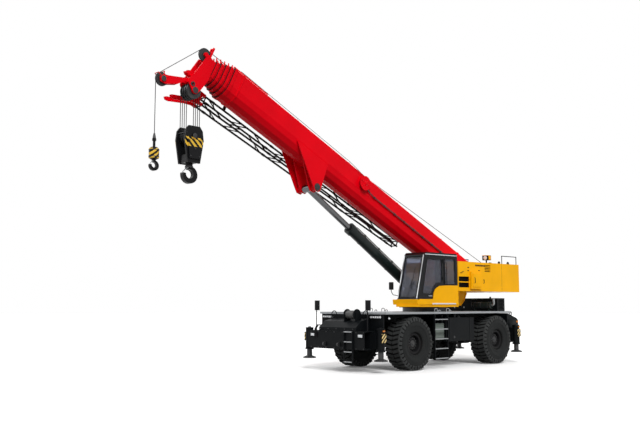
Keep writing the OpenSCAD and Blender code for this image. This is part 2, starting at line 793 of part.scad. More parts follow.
module cab_door_glass() {
    color(glass) plate_y(door_window, cab_y1 - cab_wall / 2 - 5, cab_y1 - cab_wall / 2 + 5);
}

module cab_seat() {
    mid_y = (cab_y0 + cab_y1) / 2;
    floor_z = cab_low + cab_wall;
    color(black) {
        block(450, 950, mid_y - 180, mid_y + 180, floor_z, floor_z + 350);
        block(420, 1000, mid_y - 250, mid_y + 250, floor_z + 350, floor_z + 480);
        plate_y([[420, floor_z + 480], [300, floor_z + 1150], [200, floor_z + 1150], [300, floor_z + 350],
            [420, floor_z + 350]], mid_y - 240, mid_y + 240);
        for (s = [-1, 1])
            block(500, 1100, mid_y + s * 330 - 70, mid_y + s * 330 + 70, floor_z, floor_z + 620);
    }
}

// Boom sections, in a frame with X along the boom and its origin on the foot pin

function sec_half(i) = base_w / 2 - i * nest_step;
function sec_up(i) = base_up - i * nest_step;
function sec_down(i) = base_down - i * nest_step;

// Bent outline: flat top and sides, lower half in even bends, grown by g
function sec_outline(i, g) = let(r = sec_half(i) + g, c = -sec_down(i) - g + r * cos(90 / bends))
    concat([[r, sec_up(i) + g - 40], [r - 40, sec_up(i) + g], [-r + 40, sec_up(i) + g],
        [-r, sec_up(i) + g - 40]],
        [for (k = [0 : bends]) [r * cos(180 + 180 * k / bends), c + r * sin(180 + 180 * k / bends)]]);

module along_boom(u0, u1) {
    translate([u0, 0, 0]) rotate([90, 0, 90]) linear_extrude(u1 - u0) children();
}

module section_tube(i, u0, u1, collar) {
    difference() {
        union() {
            along_boom(u0, u1) polygon(sec_outline(i, 0));
            along_boom(u1 - collar, u1) polygon(sec_outline(i, 24));
        }
        along_boom(u0 - 1, u1 + 1) polygon(sec_outline(i, -boom_wall));
    }
    slide_pad(i, u1);
    collar_guides(i, u1);
}

// Pad that the next section slides on
module slide_pad(i, u1) {
    pad_h = nest_step - boom_wall - run;
    translate([u1 - 160, -60, -sec_down(i) + boom_wall]) cube([150, 120, pad_h]);
}

// Row of rope guides that leans forward on a collar
module collar_guides(i, u1) {
    plate_h = 180;
    for (s = [-1, 0, 1])
        plate_y([[u1 - 70, sec_up(i) + 20], [u1 - 20, sec_up(i) + 20], [u1 + 30, sec_up(i) + plate_h],
            [u1, sec_up(i) + plate_h]], s * 150 - 12, s * 150 + 12);
}

function sec_tip(i) = base_len + i * collar_step;

module boom_base() {
    color(red) boom_frame() {
        difference() {
            union() {
                section_tube(0, -300, base_len, 110);
                rod_y(0, 0, foot_pin_r + 80, -base_w / 2 - 60, base_w / 2 + 60);
                both_sides() cylinder_bracket();
            }
            rod_y(0, 0, foot_pin_r + run, -base_w, base_w);
            along_boom(-301, base_len + 1) polygon(sec_outline(0, -boom_wall));
        }
        both_sides() difference() {
            rod_y(0, 0, foot_pin_r + 80, base_w / 2 - boom_wall - 60, base_w / 2 + 60);
            rod_y(0, 0, foot_pin_r + run, 0, base_w);
        }
        slide_pad(0, base_len);
        collar_guides(0, base_len);
        // Ring stiffeners round the tube behind its collar and at its foot
        for (u = [base_len - 420, 420]) difference() {
            along_boom(u, u + 40) polygon(sec_outline(0, 18));
            along_boom(u - 1, u + 41) polygon(sec_outline(0, -boom_wall));
        }
        top_fittings();
    }
}

// Gusset outside and lug inside that hold the cylinder's eye, on the left
module cylinder_bracket() {
    nose = [[luff_u + 180, -luff_v - 60], [luff_u + 60, -luff_v - 150], [luff_u - 120, -luff_v - 120],
        [luff_u - 170, -luff_v]];
    plate_y(concat([[luff_u + 1450, -60]], nose, [[luff_u - 110, -60]]), base_w / 2, base_w / 2 + 36);
    lug_v = -base_down + 130;
    plate_y(concat([[luff_u + 900, lug_v]], nose, [[luff_u - 300, lug_v]]), lug_gap / 2, lug_gap / 2 + 50);
    rod_y(luff_u, -luff_v, 120, lug_gap / 2, base_w / 2 + 36);
}

// Handrail, guide rollers, cable reel and hose rail on the base section
module top_fittings() {
    rail_v = base_up + 130;
    for (u = [base_len - 1500, base_len - 750, base_len - 100])
        block(u - 15, u + 15, 185, 215, base_up - 1, rail_v);
    block(base_len - 1560, base_len - 40, 180, 220, rail_v - 20, rail_v + 20);
    for (u = roller_u) {
        both_sides() block(u - 40, u + 40, 190, 210, base_up - 1, base_up + 130);
        rod_y(u, base_up + 70, roller_r, -195, 195);
    }
    rod_y(reel_u, reel_v, reel_r, base_w / 2, base_w / 2 + 30);
    rod_y(reel_u, reel_v, reel_r - 60, base_w / 2, base_w / 2 + 110);
    rod_y(reel_u, reel_v, reel_r, base_w / 2 + 100, base_w / 2 + 130);
    block(700, reel_u - 600, base_w / 2, base_w / 2 + 40, 60, 100);
}

module boom_section(i) {
    color(red) boom_frame() section_tube(i, 350 + 60 * i, sec_tip(i), 90);
}

module boom_tip() {
    i = section_count - 1;
    h = sec_half(i);
    up = sec_up(i);
    arm_y = 90;
    color(red) boom_frame() {
        difference() {
            along_boom(350 + 60 * i, head_back + 20) polygon(sec_outline(i, 0));
            along_boom(349 + 60 * i, head_back) polygon(sec_outline(i, -boom_wall));
        }
        block(head_back, head_back + 30, -h, h, -sec_down(i), up);
        // Head plates with the fly jib's pin holes
        both_sides() difference() {
            union() {
                plate_y([[head_back, up], [head_u - 30, up], [head_u + 110, -300], [head_u + 210, -600],
                    [head_u + 180, -720], [main_sheave[0] + 60, main_sheave[1] - 80],
                    [main_sheave[0] - 100, main_sheave[1] - 80], [main_sheave[0] - 170, main_sheave[1] + 120],
                    [head_back, -sec_down(i) - 60]], h - 20, h + 20);
                rod_y(main_sheave[0], main_sheave[1], 110, h - 20, h + 45);
                rod_y(head_u + jib_pin[0], jib_pin[1], 90, h - 20, h + 20);
            }
            rod_y(head_u + jib_pin[0], jib_pin[1], jib_pin_r, 0, h * 2);
        }
        rod_y(main_sheave[0], main_sheave[1], sheave_pin_r, -h - 40, h + 40);
        block(head_back, head_back + 40, -h, h, up - 30, up);
        block(head_u + 60, head_u + 110, -h, h, -470, -330);
        // Nose arm that carries the auxiliary sheave
        both_sides() {
            plate_y([[head_u + 90, -480], [head_u + 200, -560], [head_u + 430, -690],
                [aux_sheave[0] - 120, aux_sheave[1] + 200], [aux_sheave[0] + 40, aux_sheave[1] + 130],
                [aux_sheave[0] + 120, aux_sheave[1]], [aux_sheave[0] + 40, aux_sheave[1] - 120],
                [aux_sheave[0] - 120, aux_sheave[1] - 100], [head_u + 400, -920], [head_u + 230, -700],
                [head_u + 90, -660]], arm_y - 25, arm_y + 15);
            block(head_u + 90, head_u + 150, arm_y, h, -640, -500);
        }
        rod_y(aux_sheave[0], aux_sheave[1], sheave_pin_r, -arm_y - 40, arm_y + 40);
        // Top sheave bracket
        rod_y(top_sheave[0], top_sheave[1], sheave_pin_r, top_y - 90, top_y + 90);
        for (y = [top_y - 80, top_y + 55])
            plate_y([[head_back, up - 40], [head_u - 30, up - 40], [top_sheave[0] + 80, top_sheave[1] + 20],
                [top_sheave[0], top_sheave[1] + 90], [top_sheave[0] - 80, top_sheave[1] + 60],
                [head_back + 50, up + 40]], y, y + 25);
        // Rope guide roller on the head's front
        both_sides() plate_y([[head_u + 40, -220], [head_u + 250, -290], [head_u + 330, -360],
            [head_u + 250, -430], [head_u + 60, -400]], 60, 85);
        rod_y(head_u + 260, -360, 50, -90, 90);
    }
}

module sheave(x, z, r, y) {
    translate([x, y, z]) rotate([90, 0, 0]) rotate_extrude()
        polygon([[sheave_bore, -24], [r, -24], [r - groove, -9], [r - groove, 9], [r, 24],
            [sheave_bore, 24]]);
}

module head_sheaves() {
    color(black) boom_frame() {
        for (y = falls) sheave(main_sheave[0], main_sheave[1], sheave_r, y);
        sheave(top_sheave[0], top_sheave[1], top_r, top_y);
        sheave(aux_sheave[0], aux_sheave[1], aux_r, 0);
    }
}

// Lattice fly jib, stowed along the boom's right side

jib_front = [head_u - 900, -560, 320, -550, 480];
jib_rear = [2900, -560, 260, -280, 300];
jib_bays = 10;
jib_hang = 90;
chord_r = 34;
jib_fork_u = head_u + 200;
jib_fork_drop = 400;

// Corner of the jib at t along its length, inner or outer side, top or bottom
function jib_corner(t, side, top) = let(
    u = jib_front[0] + (jib_rear[0] - jib_front[0]) * t,
    w = jib_front[2] + (jib_rear[2] - jib_front[2]) * t,
    v = jib_front[3] + (jib_rear[3] - jib_front[3]) * t,
    h = jib_front[4] / 2 + (jib_rear[4] / 2 - jib_front[4] / 2) * t)
    [u, jib_front[1] - (side > 0 ? 0 : w), v + (top > 0 ? h : -h / 3)];

module fly_jib() {
    color(black) boom_frame() {
        for (s = [-1, 1], t = [-1, 1])
            bar(jib_corner(0, s, t), jib_corner(1, s, t), chord_r, 8);
        for (k = [0 : jib_bays - 1]) {
            a = k / jib_bays;
            b = (k + 1) / jib_bays;
            flip = k % 2 == 0 ? 1 : -1;
            for (s = [-1, 1]) bar(jib_corner(a + 0.014, s, flip), jib_corner(b - 0.014, s, -flip), 20, 6);
            for (t = [-1, 1]) bar(jib_corner(a + 0.035, flip, t), jib_corner(b - 0.035, -flip, t), 18, 6);
        }
        for (a = [0.005, 0.5, 0.995]) {
            bar(jib_corner(a, 1, 1), jib_corner(a, 1, -1), 24, 6);
            bar(jib_corner(a, -1, 1), jib_corner(a, -1, -1), 24, 6);
            bar(jib_corner(a, 1, 1), jib_corner(a, -1, 1), 24, 6);
            bar(jib_corner(a, 1, -1), jib_corner(a, -1, -1), 24, 6);
        }
        for (a = [0.08, 0.62]) {
            c = jib_corner(a, 1, 1);
            block(c[0] - 50, c[0] + 50, c[1] - 20, c[1] + 20, c[2] - 20, jib_hang + 60);
            block(c[0] - 50, c[0] + 50, c[1] - 20, -base_w / 2, jib_hang, jib_hang + 60);
        }
    }
}

// Red foot of the jib with the forks that pin to the boom's head when it is swung out
module jib_foot() {
    u0 = jib_front[0];
    color(red) boom_frame() {
        // Sockets on the ends of the chords
        for (s = [-1, 1], t = [-1, 1]) {
            c = jib_corner(0, s, t);
            difference() {
                block(u0 - 20, u0 + 260, c[1] - 45, c[1] + 45, c[2] - 45, c[2] + 45);
                bar(jib_corner(0.02, s, t), jib_corner(-0.0005, s, t), chord_r + run, 8);
            }
        }
        for (s = [-1, 1]) {
            top = jib_corner(0, s, 1);
            low = jib_corner(0, s, -1);
            tip = low[2] - jib_fork_drop;
            plate_y([[u0 + 80, low[2] - 40], [u0 + 80, top[2] + 40], [u0 + 200, top[2] + 40],
                [u0 + 420, low[2] - 20], [jib_fork_u - 60, tip + 60], [jib_fork_u, tip],
                [jib_fork_u - 60, tip - 60], [jib_fork_u - 180, tip - 40], [u0 + 400, low[2] - 160]],
                low[1] - 15, low[1] + 15);
        }
        a = jib_corner(0, 1, 1);
        b = jib_corner(0, -1, -1);
        block(u0 + 100, u0 + 160, b[1], a[1], a[2] - 30, a[2] + 30);
        block(u0 + 100, u0 + 160, b[1], a[1], b[2] - 30, b[2] + 30);
    }
}

// Luff cylinder

module cyl_frame() {
    translate([0, 0, cyl_foot_z]) rotate([0, -cyl_angle, 0]) children();
}

module luff_barrel() {
    neck = barrel_r + 100;
    color(black) cyl_frame() difference() {
        union() {
            rod_y(0, 0, cyl_eye_r, -cyl_eye_w / 2, cyl_eye_w / 2);
            rod_x(0, 0, cyl_eye_r - 15, 0, neck);
            rod_x(0, 0, barrel_r, neck, barrel_len);
            rod_x(0, 0, barrel_r + 25, barrel_len - 180, barrel_len);
        }
        rod_y(0, 0, cyl_pin_r + run, -cyl_eye_w, cyl_eye_w);
        rod_x(0, 0, rod_r + run, 400, barrel_len + 1);
    }
}

module luff_rod() {
    color("#d7dadd") cyl_frame() difference() {
        union() {
            rod_x(0, 0, rod_r, 1900, cyl_len - rod_eye_r * 0.6);
            rod_y(cyl_len, 0, rod_eye_r, -lug_gap / 2 + 30, lug_gap / 2 - 30);
        }
        rod_y(cyl_len, 0, 80, -lug_gap, lug_gap);
    }
}

// Hooks hang plumb under their sheaves

function boom_point(p) = [-foot_x + p[0] * cos(boom_angle) - p[1] * sin(boom_angle),
    foot_z + p[0] * sin(boom_angle) + p[1] * cos(boom_angle)];

main_at = boom_point(main_sheave);
aux_at = boom_point(aux_sheave);

// Hook of round outline with its throat open to the front, bowl at the bottom
module hook_shape(r, t, shank) {
    rotate([90, 0, 0]) linear_extrude(t, center = true) difference() {
        union() {
            circle(r = r);
            translate([-r * 0.28, 0]) square([r * 0.56, shank + r]);
        }
        translate([r * 0.06, r * 0.1]) circle(r = r * 0.52);
        polygon([[r * 0.06, r * 0.1], [r * 1.3, r * 0.25], [r * 1.3, r * 1.3], [r * 0.34, r * 1.3]]);
    }
}

module main_hook() {
    r = sheave_r;
    top = main_at[1] - 4.4 * r;
    pin_z = top - 1.2 * r;
    hook_r = r + 10;
    bowl = main_at[1] - hook_drop;
    x = main_at[0];
    plate_in = falls_y;
    color(black) {
        for (s = [-1, 1], y = falls)
            translate([x + s * (r - groove + rope_r + run), y, pin_z + 60])
                cylinder(r = rope_r, h = main_at[1] - pin_z - 60 - run, $fn = 12);
        // Cheeks, with the sheaves between them and a crosshead below
        both_sides() plate_y([[x - 1.2 * r, top - 0.52 * r], [x - 0.8 * r, top], [x + 0.8 * r, top],
            [x + 1.2 * r, top - 0.52 * r], [x + 1.36 * r, top - 1.68 * r], [x + 0.88 * r, top - 4.48 * r],
            [x - 0.88 * r, top - 4.48 * r], [x - 1.36 * r, top - 1.68 * r]], plate_in, plate_in + 60);
        for (y = falls) rod_y(x, pin_z, r + 20, y - 24, y + 24);
        rod_y(x, pin_z, 90, -plate_in - 90, plate_in + 90);
        block(x - 0.76 * r, x + 0.76 * r, -plate_in - 1, plate_in + 1, top - 4.4 * r, top - 3.44 * r);
        translate([x, 0, top - 4.76 * r]) cylinder(r = 110, h = 100);
        // Weight plates bolted on the cheeks
        both_sides() plate_y([[x - r, top - 1.68 * r], [x + r, top - 1.68 * r], [x + 0.76 * r, top - 4 * r],
            [x - 0.76 * r, top - 4 * r]], plate_in + 59, plate_in + 111);
        translate([x, 0, bowl + hook_r]) hook_shape(hook_r, 150, top - 4.6 * r - bowl - 2 * hook_r);
    }
}

module aux_hook() {
    hook_r = 150;
    bowl = aux_at[1] - aux_drop;
    x = aux_at[0] + aux_r - groove + rope_r + run;
    color(black) {
        translate([x, 0, bowl + 900]) cylinder(r = rope_r, h = aux_drop - 900 - run, $fn = 12);
        translate([x, 0, bowl + 880]) cylinder(r = 60, h = 70);
        translate([x, 0, bowl + 660]) cylinder(r = 38, h = 230);
        translate([x, 0, bowl + 640]) cylinder(r1 = 150, r2 = 100, h = 50);
        translate([x, 0, bowl + 370]) cylinder(r = 150, h = 271);
        translate([x, 0, bowl + 330]) cylinder(r1 = 90, r2 = 150, h = 41);
        translate([x, 0, bowl + hook_r]) hook_shape(hook_r, 90, 110);
    }
}

chassis();
deck();
axles();
engine();
engine_hood();
silencer();
ladders();
lamps();
deck_mirrors();
slew_ring();
side_tanks();
front_winch();
turntable();
counterweight();
rear_housing();
roof_fittings();
winches();
cab_platform();
cab_shell();
cab_skirt();
cab_glass();
cab_seat();
cab_door();
cab_door_glass();
boom_base();
fly_jib();
jib_foot();
boom_section(1);  // boom_section_2
boom_section(2);  // boom_section_3
boom_section(3);  // boom_section_4
boom_section(4);  // boom_section_5
boom_tip();
head_sheaves();
luff_barrel();
luff_rod();
main_hook();
aux_hook();
color(black) beam(front_beam_x[0], 1);  // beam_fl
color(black) beam(front_beam_x[1], -1);  // beam_fr
color(black) beam(rear_beam_x[0], 1);  // beam_rl
color(black) beam(rear_beam_x[1], -1);  // beam_rr
color(steel) jack(front_beam_x[0], 1);  // jack_fl
color(steel) jack(front_beam_x[1], -1);  // jack_fr
color(steel) jack(rear_beam_x[0], 1);  // jack_rl
color(steel) jack(rear_beam_x[1], -1);  // jack_rr
color(black) knuckle(axle_x);  // knuckle_fl
color(black) mirror([0, 1, 0]) knuckle(axle_x);  // knuckle_fr
color(black) knuckle(-axle_x);  // knuckle_rl
color(black) mirror([0, 1, 0]) knuckle(-axle_x);  // knuckle_rr
color(black) at_wheel(axle_x, 1) rim_shape();  // rim_fl
color(black) at_wheel(axle_x, -1) rim_shape();  // rim_fr
color(black) at_wheel(-axle_x, 1) rim_shape();  // rim_rl
color(black) at_wheel(-axle_x, -1) rim_shape();  // rim_rr
color(black) at_wheel(axle_x, 1) tyre_shape();  // tyre_fl
color(black) at_wheel(axle_x, -1) tyre_shape();  // tyre_fr
color(black) at_wheel(-axle_x, 1) tyre_shape();  // tyre_rl
color(black) at_wheel(-axle_x, -1) tyre_shape();  // tyre_rr
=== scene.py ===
import json
import math
import bmesh
import bpy
from mathutils import Matrix, Vector

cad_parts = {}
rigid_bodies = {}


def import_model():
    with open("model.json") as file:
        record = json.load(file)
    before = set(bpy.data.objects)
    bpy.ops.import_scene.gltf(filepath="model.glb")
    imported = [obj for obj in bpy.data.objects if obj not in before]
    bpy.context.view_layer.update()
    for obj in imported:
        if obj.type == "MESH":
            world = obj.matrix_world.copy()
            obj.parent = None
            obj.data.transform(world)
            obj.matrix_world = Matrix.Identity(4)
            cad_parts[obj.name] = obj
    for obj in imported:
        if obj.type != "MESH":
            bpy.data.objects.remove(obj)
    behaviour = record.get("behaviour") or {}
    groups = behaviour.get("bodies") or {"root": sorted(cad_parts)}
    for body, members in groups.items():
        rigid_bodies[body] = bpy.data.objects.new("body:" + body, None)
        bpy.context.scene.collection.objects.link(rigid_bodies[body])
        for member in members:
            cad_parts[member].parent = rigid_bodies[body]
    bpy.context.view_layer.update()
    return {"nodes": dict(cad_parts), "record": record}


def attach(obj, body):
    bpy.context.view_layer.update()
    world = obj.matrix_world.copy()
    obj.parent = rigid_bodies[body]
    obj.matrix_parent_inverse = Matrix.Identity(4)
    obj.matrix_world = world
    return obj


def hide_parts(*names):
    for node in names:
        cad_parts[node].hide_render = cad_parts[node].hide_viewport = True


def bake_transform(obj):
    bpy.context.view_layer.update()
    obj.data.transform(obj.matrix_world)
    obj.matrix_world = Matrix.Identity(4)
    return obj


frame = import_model()
cadNodes = frame["nodes"]
sceneObjects = bpy.context.scene.collection.objects
bothSides = (-1, 1)
wheelAt = (2.5, 1.29, 0.9375)
print("frame loaded:", len(cadNodes), "nodes")

# Camera at the photograph's view, worked out for a 640 x 427 image
cameraView = {"place": (24.553, 19.865, 2.298), "yaw": -43.634, "pitch": 6.504, "lens": 45.0, "sensor": 36.0,
    "farthest": 400}


def aimCamera(view):
    yaw, pitch = math.radians(view["yaw"]), math.radians(view["pitch"])
    ahead = Vector((math.sin(yaw) * math.cos(pitch), -math.cos(yaw) * math.cos(pitch), math.sin(pitch)))
    data = bpy.data.cameras.new("photoCamera")
    data.sensor_fit = "HORIZONTAL"
    data.sensor_width = view["sensor"]
    data.lens = view["lens"]
    data.clip_end = view["farthest"]
    camera = bpy.data.objects.new("photoCamera", data)
    sceneObjects.link(camera)
    camera.location = view["place"]
    camera.rotation_euler = ahead.to_track_quat("-Z", "Y").to_euler()
    bpy.context.scene.camera = camera


aimCamera(cameraView)
bpy.context.scene.view_settings.view_transform = "Standard"
print("camera set")


# Node helpers: a value that is a socket is linked, any other is set
def setInputs(tree, node, inputs):
    for key, value in inputs.items():
        if isinstance(value, bpy.types.NodeSocket):
            tree.links.new(value, node.inputs[key])
        else:
            node.inputs[key].default_value = value


def addNode(tree, kind, inputs=None, **settings):
    made = tree.nodes.new(kind)
    for key, value in settings.items():
        setattr(made, key, value)
    setInputs(tree, made, inputs or {})
    return made


def addMath(tree, operation, *values, clamp=False):
    inputs = dict(enumerate(values))
    return addNode(tree, "ShaderNodeMath", inputs, operation=operation, use_clamp=clamp).outputs[0]


def addMix(tree, factor, a, b):
    return addNode(tree, "ShaderNodeMix", {0: factor, 6: a, 7: b}, data_type="RGBA").outputs[2]


def addRange(tree, value, low, high, toLow=0.0, toHigh=1.0):
    return addNode(tree, "ShaderNodeMapRange", {"Value": value, "From Min": low, "From Max": high,
        "To Min": toLow, "To Max": toHigh}).outputs["Result"]


def addNoise(tree, coords, scale, detail=3.0, rough=0.55):
    return addNode(tree, "ShaderNodeTexNoise", {"Vector": coords, "Scale": scale, "Detail": detail,
        "Roughness": rough}).outputs["Fac"]


def objectCoords(tree):
    return tree.nodes.new("ShaderNodeTexCoord").outputs["Object"]


# New node group, with the sockets that it takes in and gives out
def newTree(name, family, inputs, outputs):
    tree = bpy.data.node_groups.new(name, family)
    for way, sockets in (("INPUT", inputs), ("OUTPUT", outputs)):
        for label, kind in sockets.items():
            tree.interface.new_socket(label, in_out=way, socket_type="NodeSocket" + kind)
    return tree, tree.nodes.new("NodeGroupInput").outputs, tree.nodes.new("NodeGroupOutput").inputs


def newSkin(name, labels):
    inputs = {label: "Color" if "Color" in label else "Float" for label in labels}
    return newTree(name, "ShaderNodeTree", inputs, {"Color": "Color", "Roughness": "Float",
        "Normal": "Vector"})


def endSkin(tree, leave, color, rough, relief, strength, distance):
    bump = addNode(tree, "ShaderNodeBump", {"Height": relief, "Strength": strength, "Distance": distance})
    for label, value in (("Color", color), ("Roughness", rough), ("Normal", bump.outputs[0])):
        tree.links.new(value, leave[label])
    return tree


# Sprayed paint: faint tone changes, road dust low down, orange peel
paintLabels = ("Color", "Dust Color", "Dust", "Dust Height", "Gloss", "Peel")


def makePaintSkin():
    tree, enter, leave = newSkin("paintSkin", paintLabels)
    coords = objectCoords(tree)
    tone = addRange(tree, addNoise(tree, coords, 0.9, 4.0), 0.3, 0.7, 0.9, 1.06)
    toned = addNode(tree, "ShaderNodeHueSaturation", {"Color": enter["Color"], "Value": tone}).outputs[0]
    height = addNode(tree, "ShaderNodeSeparateXYZ", {"Vector": coords}).outputs["Z"]
    low = addRange(tree, height, enter["Dust Height"], 0.0)
    patch = addRange(tree, addNoise(tree, coords, 5.0, 6.0, 0.7), 0.45, 0.75)
    film = addMath(tree, "ADD", addMath(tree, "MULTIPLY", low, 0.6), addMath(tree, "MULTIPLY", patch, 0.35))
    dusty = addMath(tree, "MULTIPLY", film, enter["Dust"], clamp=True)
    fine = addNoise(tree, coords, 90.0, 2.0)
    rough = addMath(tree, "ADD", enter["Gloss"], addMath(tree, "MULTIPLY", fine, 0.08))
    rough = addMath(tree, "ADD", rough, addMath(tree, "MULTIPLY", dusty, 0.4), clamp=True)
    return endSkin(tree, leave, addMix(tree, dusty, toned, enter["Dust Color"]), rough, fine, enter["Peel"],
        0.002)


# Bare or cast metal and rubber: grain with its own colour change
grainLabels = ("Color", "Worn Color", "Worn", "Grain", "Gloss", "Depth")


def makeGrainSkin():
    tree, enter, leave = newSkin("grainSkin", grainLabels)
    coords = objectCoords(tree)
    large = addRange(tree, addNoise(tree, coords, 2.6, 5.0, 0.65), 0.42, 0.72)
    worn = addMath(tree, "MULTIPLY", large, enter["Worn"], clamp=True)
    grain = addNode(tree, "ShaderNodeTexNoise", {"Vector": coords, "Scale": enter["Grain"]}).outputs["Fac"]
    rough = addMath(tree, "ADD", enter["Gloss"], addMath(tree, "MULTIPLY", grain, 0.16), clamp=True)
    return endSkin(tree, leave, addMix(tree, worn, enter["Color"], enter["Worn Color"]), rough, grain,
        enter["Depth"], 0.004)


paintSkin, grainSkin = makePaintSkin(), makeGrainSkin()


def newMaterial(name):
    made = bpy.data.materials.new(name)
    made.use_nodes = True
    return made, made.node_tree, made.node_tree.nodes["Principled BSDF"]


def skinMaterial(name, skin, labels, values, metallic=0.0, coat=0.0, shine=0.1):
    made, tree, shader = newMaterial(name)
    inputs = {label: (*value, 1) if isinstance(value, tuple) else value
        for label, value in zip(labels, values)}
    group = addNode(tree, "ShaderNodeGroup", inputs, node_tree=skin).outputs
    setInputs(tree, shader, {"Base Color": group["Color"], "Roughness": group["Roughness"],
        "Normal": group["Normal"], "Metallic": metallic, "Specular IOR Level": shine, "Coat Weight": coat,
        "Coat Roughness": 0.05})
    return made


# Paints: shader settings, then colour, dust colour, dust, dust height, gloss, peel
roadDust = (0.085, 0.075, 0.062)
hookPaint = ((0.006, 0.006, 0.007), (0.04, 0.04, 0.04), 0.1, 8.0, 0.33, 0.05)
hookCoat = {"coat": 0.04}
paints = {
    "boomRed": ({"shine": 0.06}, (0.80, 0.0006, 0.008), (0.40, 0.005, 0.006), 0.05, 2.0, 0.32, 0.03),
    "bodyYellow": ({"shine": 0.07}, (0.97, 0.46, 0.002), (0.62, 0.33, 0.02), 0.05, 3.0, 0.30, 0.03),
    "carrierBlack": ({"shine": 0.06}, (0.004, 0.005, 0.006), roadDust, 0.06, 1.6, 0.38, 0.06),
    "deckGrey": ({"metallic": 0.3}, (0.36, 0.38, 0.40), (0.22, 0.21, 0.19), 0.5, 3.0, 0.40, 0.05),
    "cabBlack": ({"coat": 0.1}, (0.005, 0.006, 0.007), roadDust, 0.03, 2.6, 0.16, 0.01),
    "cylinderDark": ({"coat": 0.15}, (0.008, 0.014, 0.013), roadDust, 0.12, 2.5, 0.26, 0.02),
    "hookBlack": (hookCoat, *hookPaint),
    "jibBlack": ({}, (0.007, 0.006, 0.006), (0.03, 0.025, 0.025), 0.1, 6.0, 0.4, 0.04),
    "rimBlack": ({}, (0.006, 0.006, 0.007), roadDust, 0.06, 1.6, 0.40, 0.06),
    "stepPaint": ({}, (0.17, 0.20, 0.18), (0.12, 0.11, 0.09), 0.3, 1.6, 0.42, 0.05),
}
# Grained finishes: shader settings, then colour, worn colour, worn, grain, gloss, depth
grains = {
    "stepGrey": ({"metallic": 0.6}, (0.33, 0.34, 0.35), (0.12, 0.12, 0.12), 0.4, 120.0, 0.34, 0.1),
    "bareSteel": ({"metallic": 0.85}, (0.30, 0.31, 0.32), (0.14, 0.13, 0.12), 0.5, 160.0, 0.30, 0.06),
    "darkSteel": ({"metallic": 0.6}, (0.045, 0.046, 0.048), (0.10, 0.095, 0.09), 0.5, 120.0, 0.36, 0.1),
    "engineGrey": ({"metallic": 0.2}, (0.16, 0.165, 0.17), (0.06, 0.05, 0.04), 0.7, 40.0, 0.55, 0.5),
    "rodChrome": ({"metallic": 1.0}, (0.11, 0.112, 0.115), (0.08, 0.082, 0.085), 0.3, 300.0, 0.14, 0.01),
    "tyreRubber": ({}, (0.016, 0.017, 0.017), (0.024, 0.025, 0.025), 0.6, 70.0, 0.66, 0.35),
    "lugRubber": ({}, (0.038, 0.040, 0.040), (0.052, 0.053, 0.052), 0.6, 70.0, 0.66, 0.35),
    # Painted shade: the dark of the tread's gaps, the lugs' flanks and the ring next to the rim
    "grooveRubber": ({}, (0.004, 0.004, 0.004), (0.008, 0.008, 0.008), 0.5, 70.0, 0.7, 0.3),
    "softBlack": ({}, (0.008, 0.008, 0.009), (0.018, 0.018, 0.018), 0.4, 400.0, 0.60, 0.2),
    "wireRope": ({"metallic": 0.5}, (0.09, 0.09, 0.09), (0.16, 0.155, 0.15), 0.5, 220.0, 0.42, 0.3),
    "seatCloth": ({}, (0.022, 0.023, 0.025), (0.04, 0.04, 0.042), 0.4, 700.0, 0.72, 0.4),
    "brightTrim": ({"metallic": 0.7}, (0.62, 0.63, 0.65), (0.48, 0.49, 0.5), 0.3, 200.0, 0.18, 0.02),
    # Black for grilles, seams and plates, and for painted shade behind openings and slots
    "grilleBlack": ({}, (0.006, 0.006, 0.006), (0.012, 0.012, 0.012), 0.4, 100.0, 0.55, 0.1),
    "lampRed": ({"coat": 0.8}, (0.45, 0.008, 0.006), (0.35, 0.006, 0.005), 0.4, 30.0, 0.08, 0.05),
    "lampAmber": ({"coat": 0.8}, (0.75, 0.22, 0.008), (0.6, 0.16, 0.006), 0.4, 30.0, 0.08, 0.05),
    "lampWhite": ({"coat": 0.8}, (0.80, 0.82, 0.84), (0.6, 0.62, 0.64), 0.4, 30.0, 0.08, 0.05),
}
finishes = {}
for skin, labels, table in ((paintSkin, paintLabels, paints), (grainSkin, grainLabels, grains)):
    for name, (extra, *values) in table.items():
        finishes[name] = skinMaterial(name, skin, labels, values, **extra)

glass = {"tint": (0.37, 0.39, 0.47), "through": 0.9, "bend": 1.25, "rough": (0.01, 0.07)}


def makeGlass(name, settings):
    made, tree, shader = newMaterial(name)
    smear = addRange(tree, addNoise(tree, objectCoords(tree), 6.0, 4.0), 0.4, 0.8, *settings["rough"])
    setInputs(tree, shader, {"Base Color": (*settings["tint"], 1), "Transmission Weight": settings["through"],
        "IOR": settings["bend"], "Roughness": smear})
    return made


finishes["windowGlass"] = makeGlass("windowGlass", glass)


# Slanted warning stripes, on for half of each pitch
def makeStripeMask():
    tree, enter, leave = newTree("stripeMask", "ShaderNodeTree", {"Pitch": "Float", "Lean": "Float"},
        {"Mask": "Float", "Side": "Float", "Height": "Float"})
    place = addNode(tree, "ShaderNodeSeparateXYZ", {"Vector": objectCoords(tree)}).outputs
    slant = addMath(tree, "ADD", place["Z"], addMath(tree, "MULTIPLY", place["X"], enter["Lean"]))
    phase = addMath(tree, "FRACT", addMath(tree, "DIVIDE", slant, enter["Pitch"]))
    tree.links.new(addMath(tree, "GREATER_THAN", phase, 0.5), leave["Mask"])
    tree.links.new(addMath(tree, "ABSOLUTE", place["Y"]), leave["Side"])
    tree.links.new(place["Z"], leave["Height"])
    return tree


stripeMask = makeStripeMask()
stripeYellow, plateYellow = (0.86, 0.54, 0.06), (0.88, 0.66, 0.28)
# Pitch, lean, least half width, lowest and highest stripe, colour
stripes = {
    "hookStripe": (0.21, -1.0, 0.25, 6.98, 7.27, stripeYellow),
    "auxStripe": (0.15, 0.9, -1.0, 6.50, 6.80, stripeYellow),
    "plateStripe": (0.14, 1.0, -1.0, 0.0, 9.0, plateYellow),
}


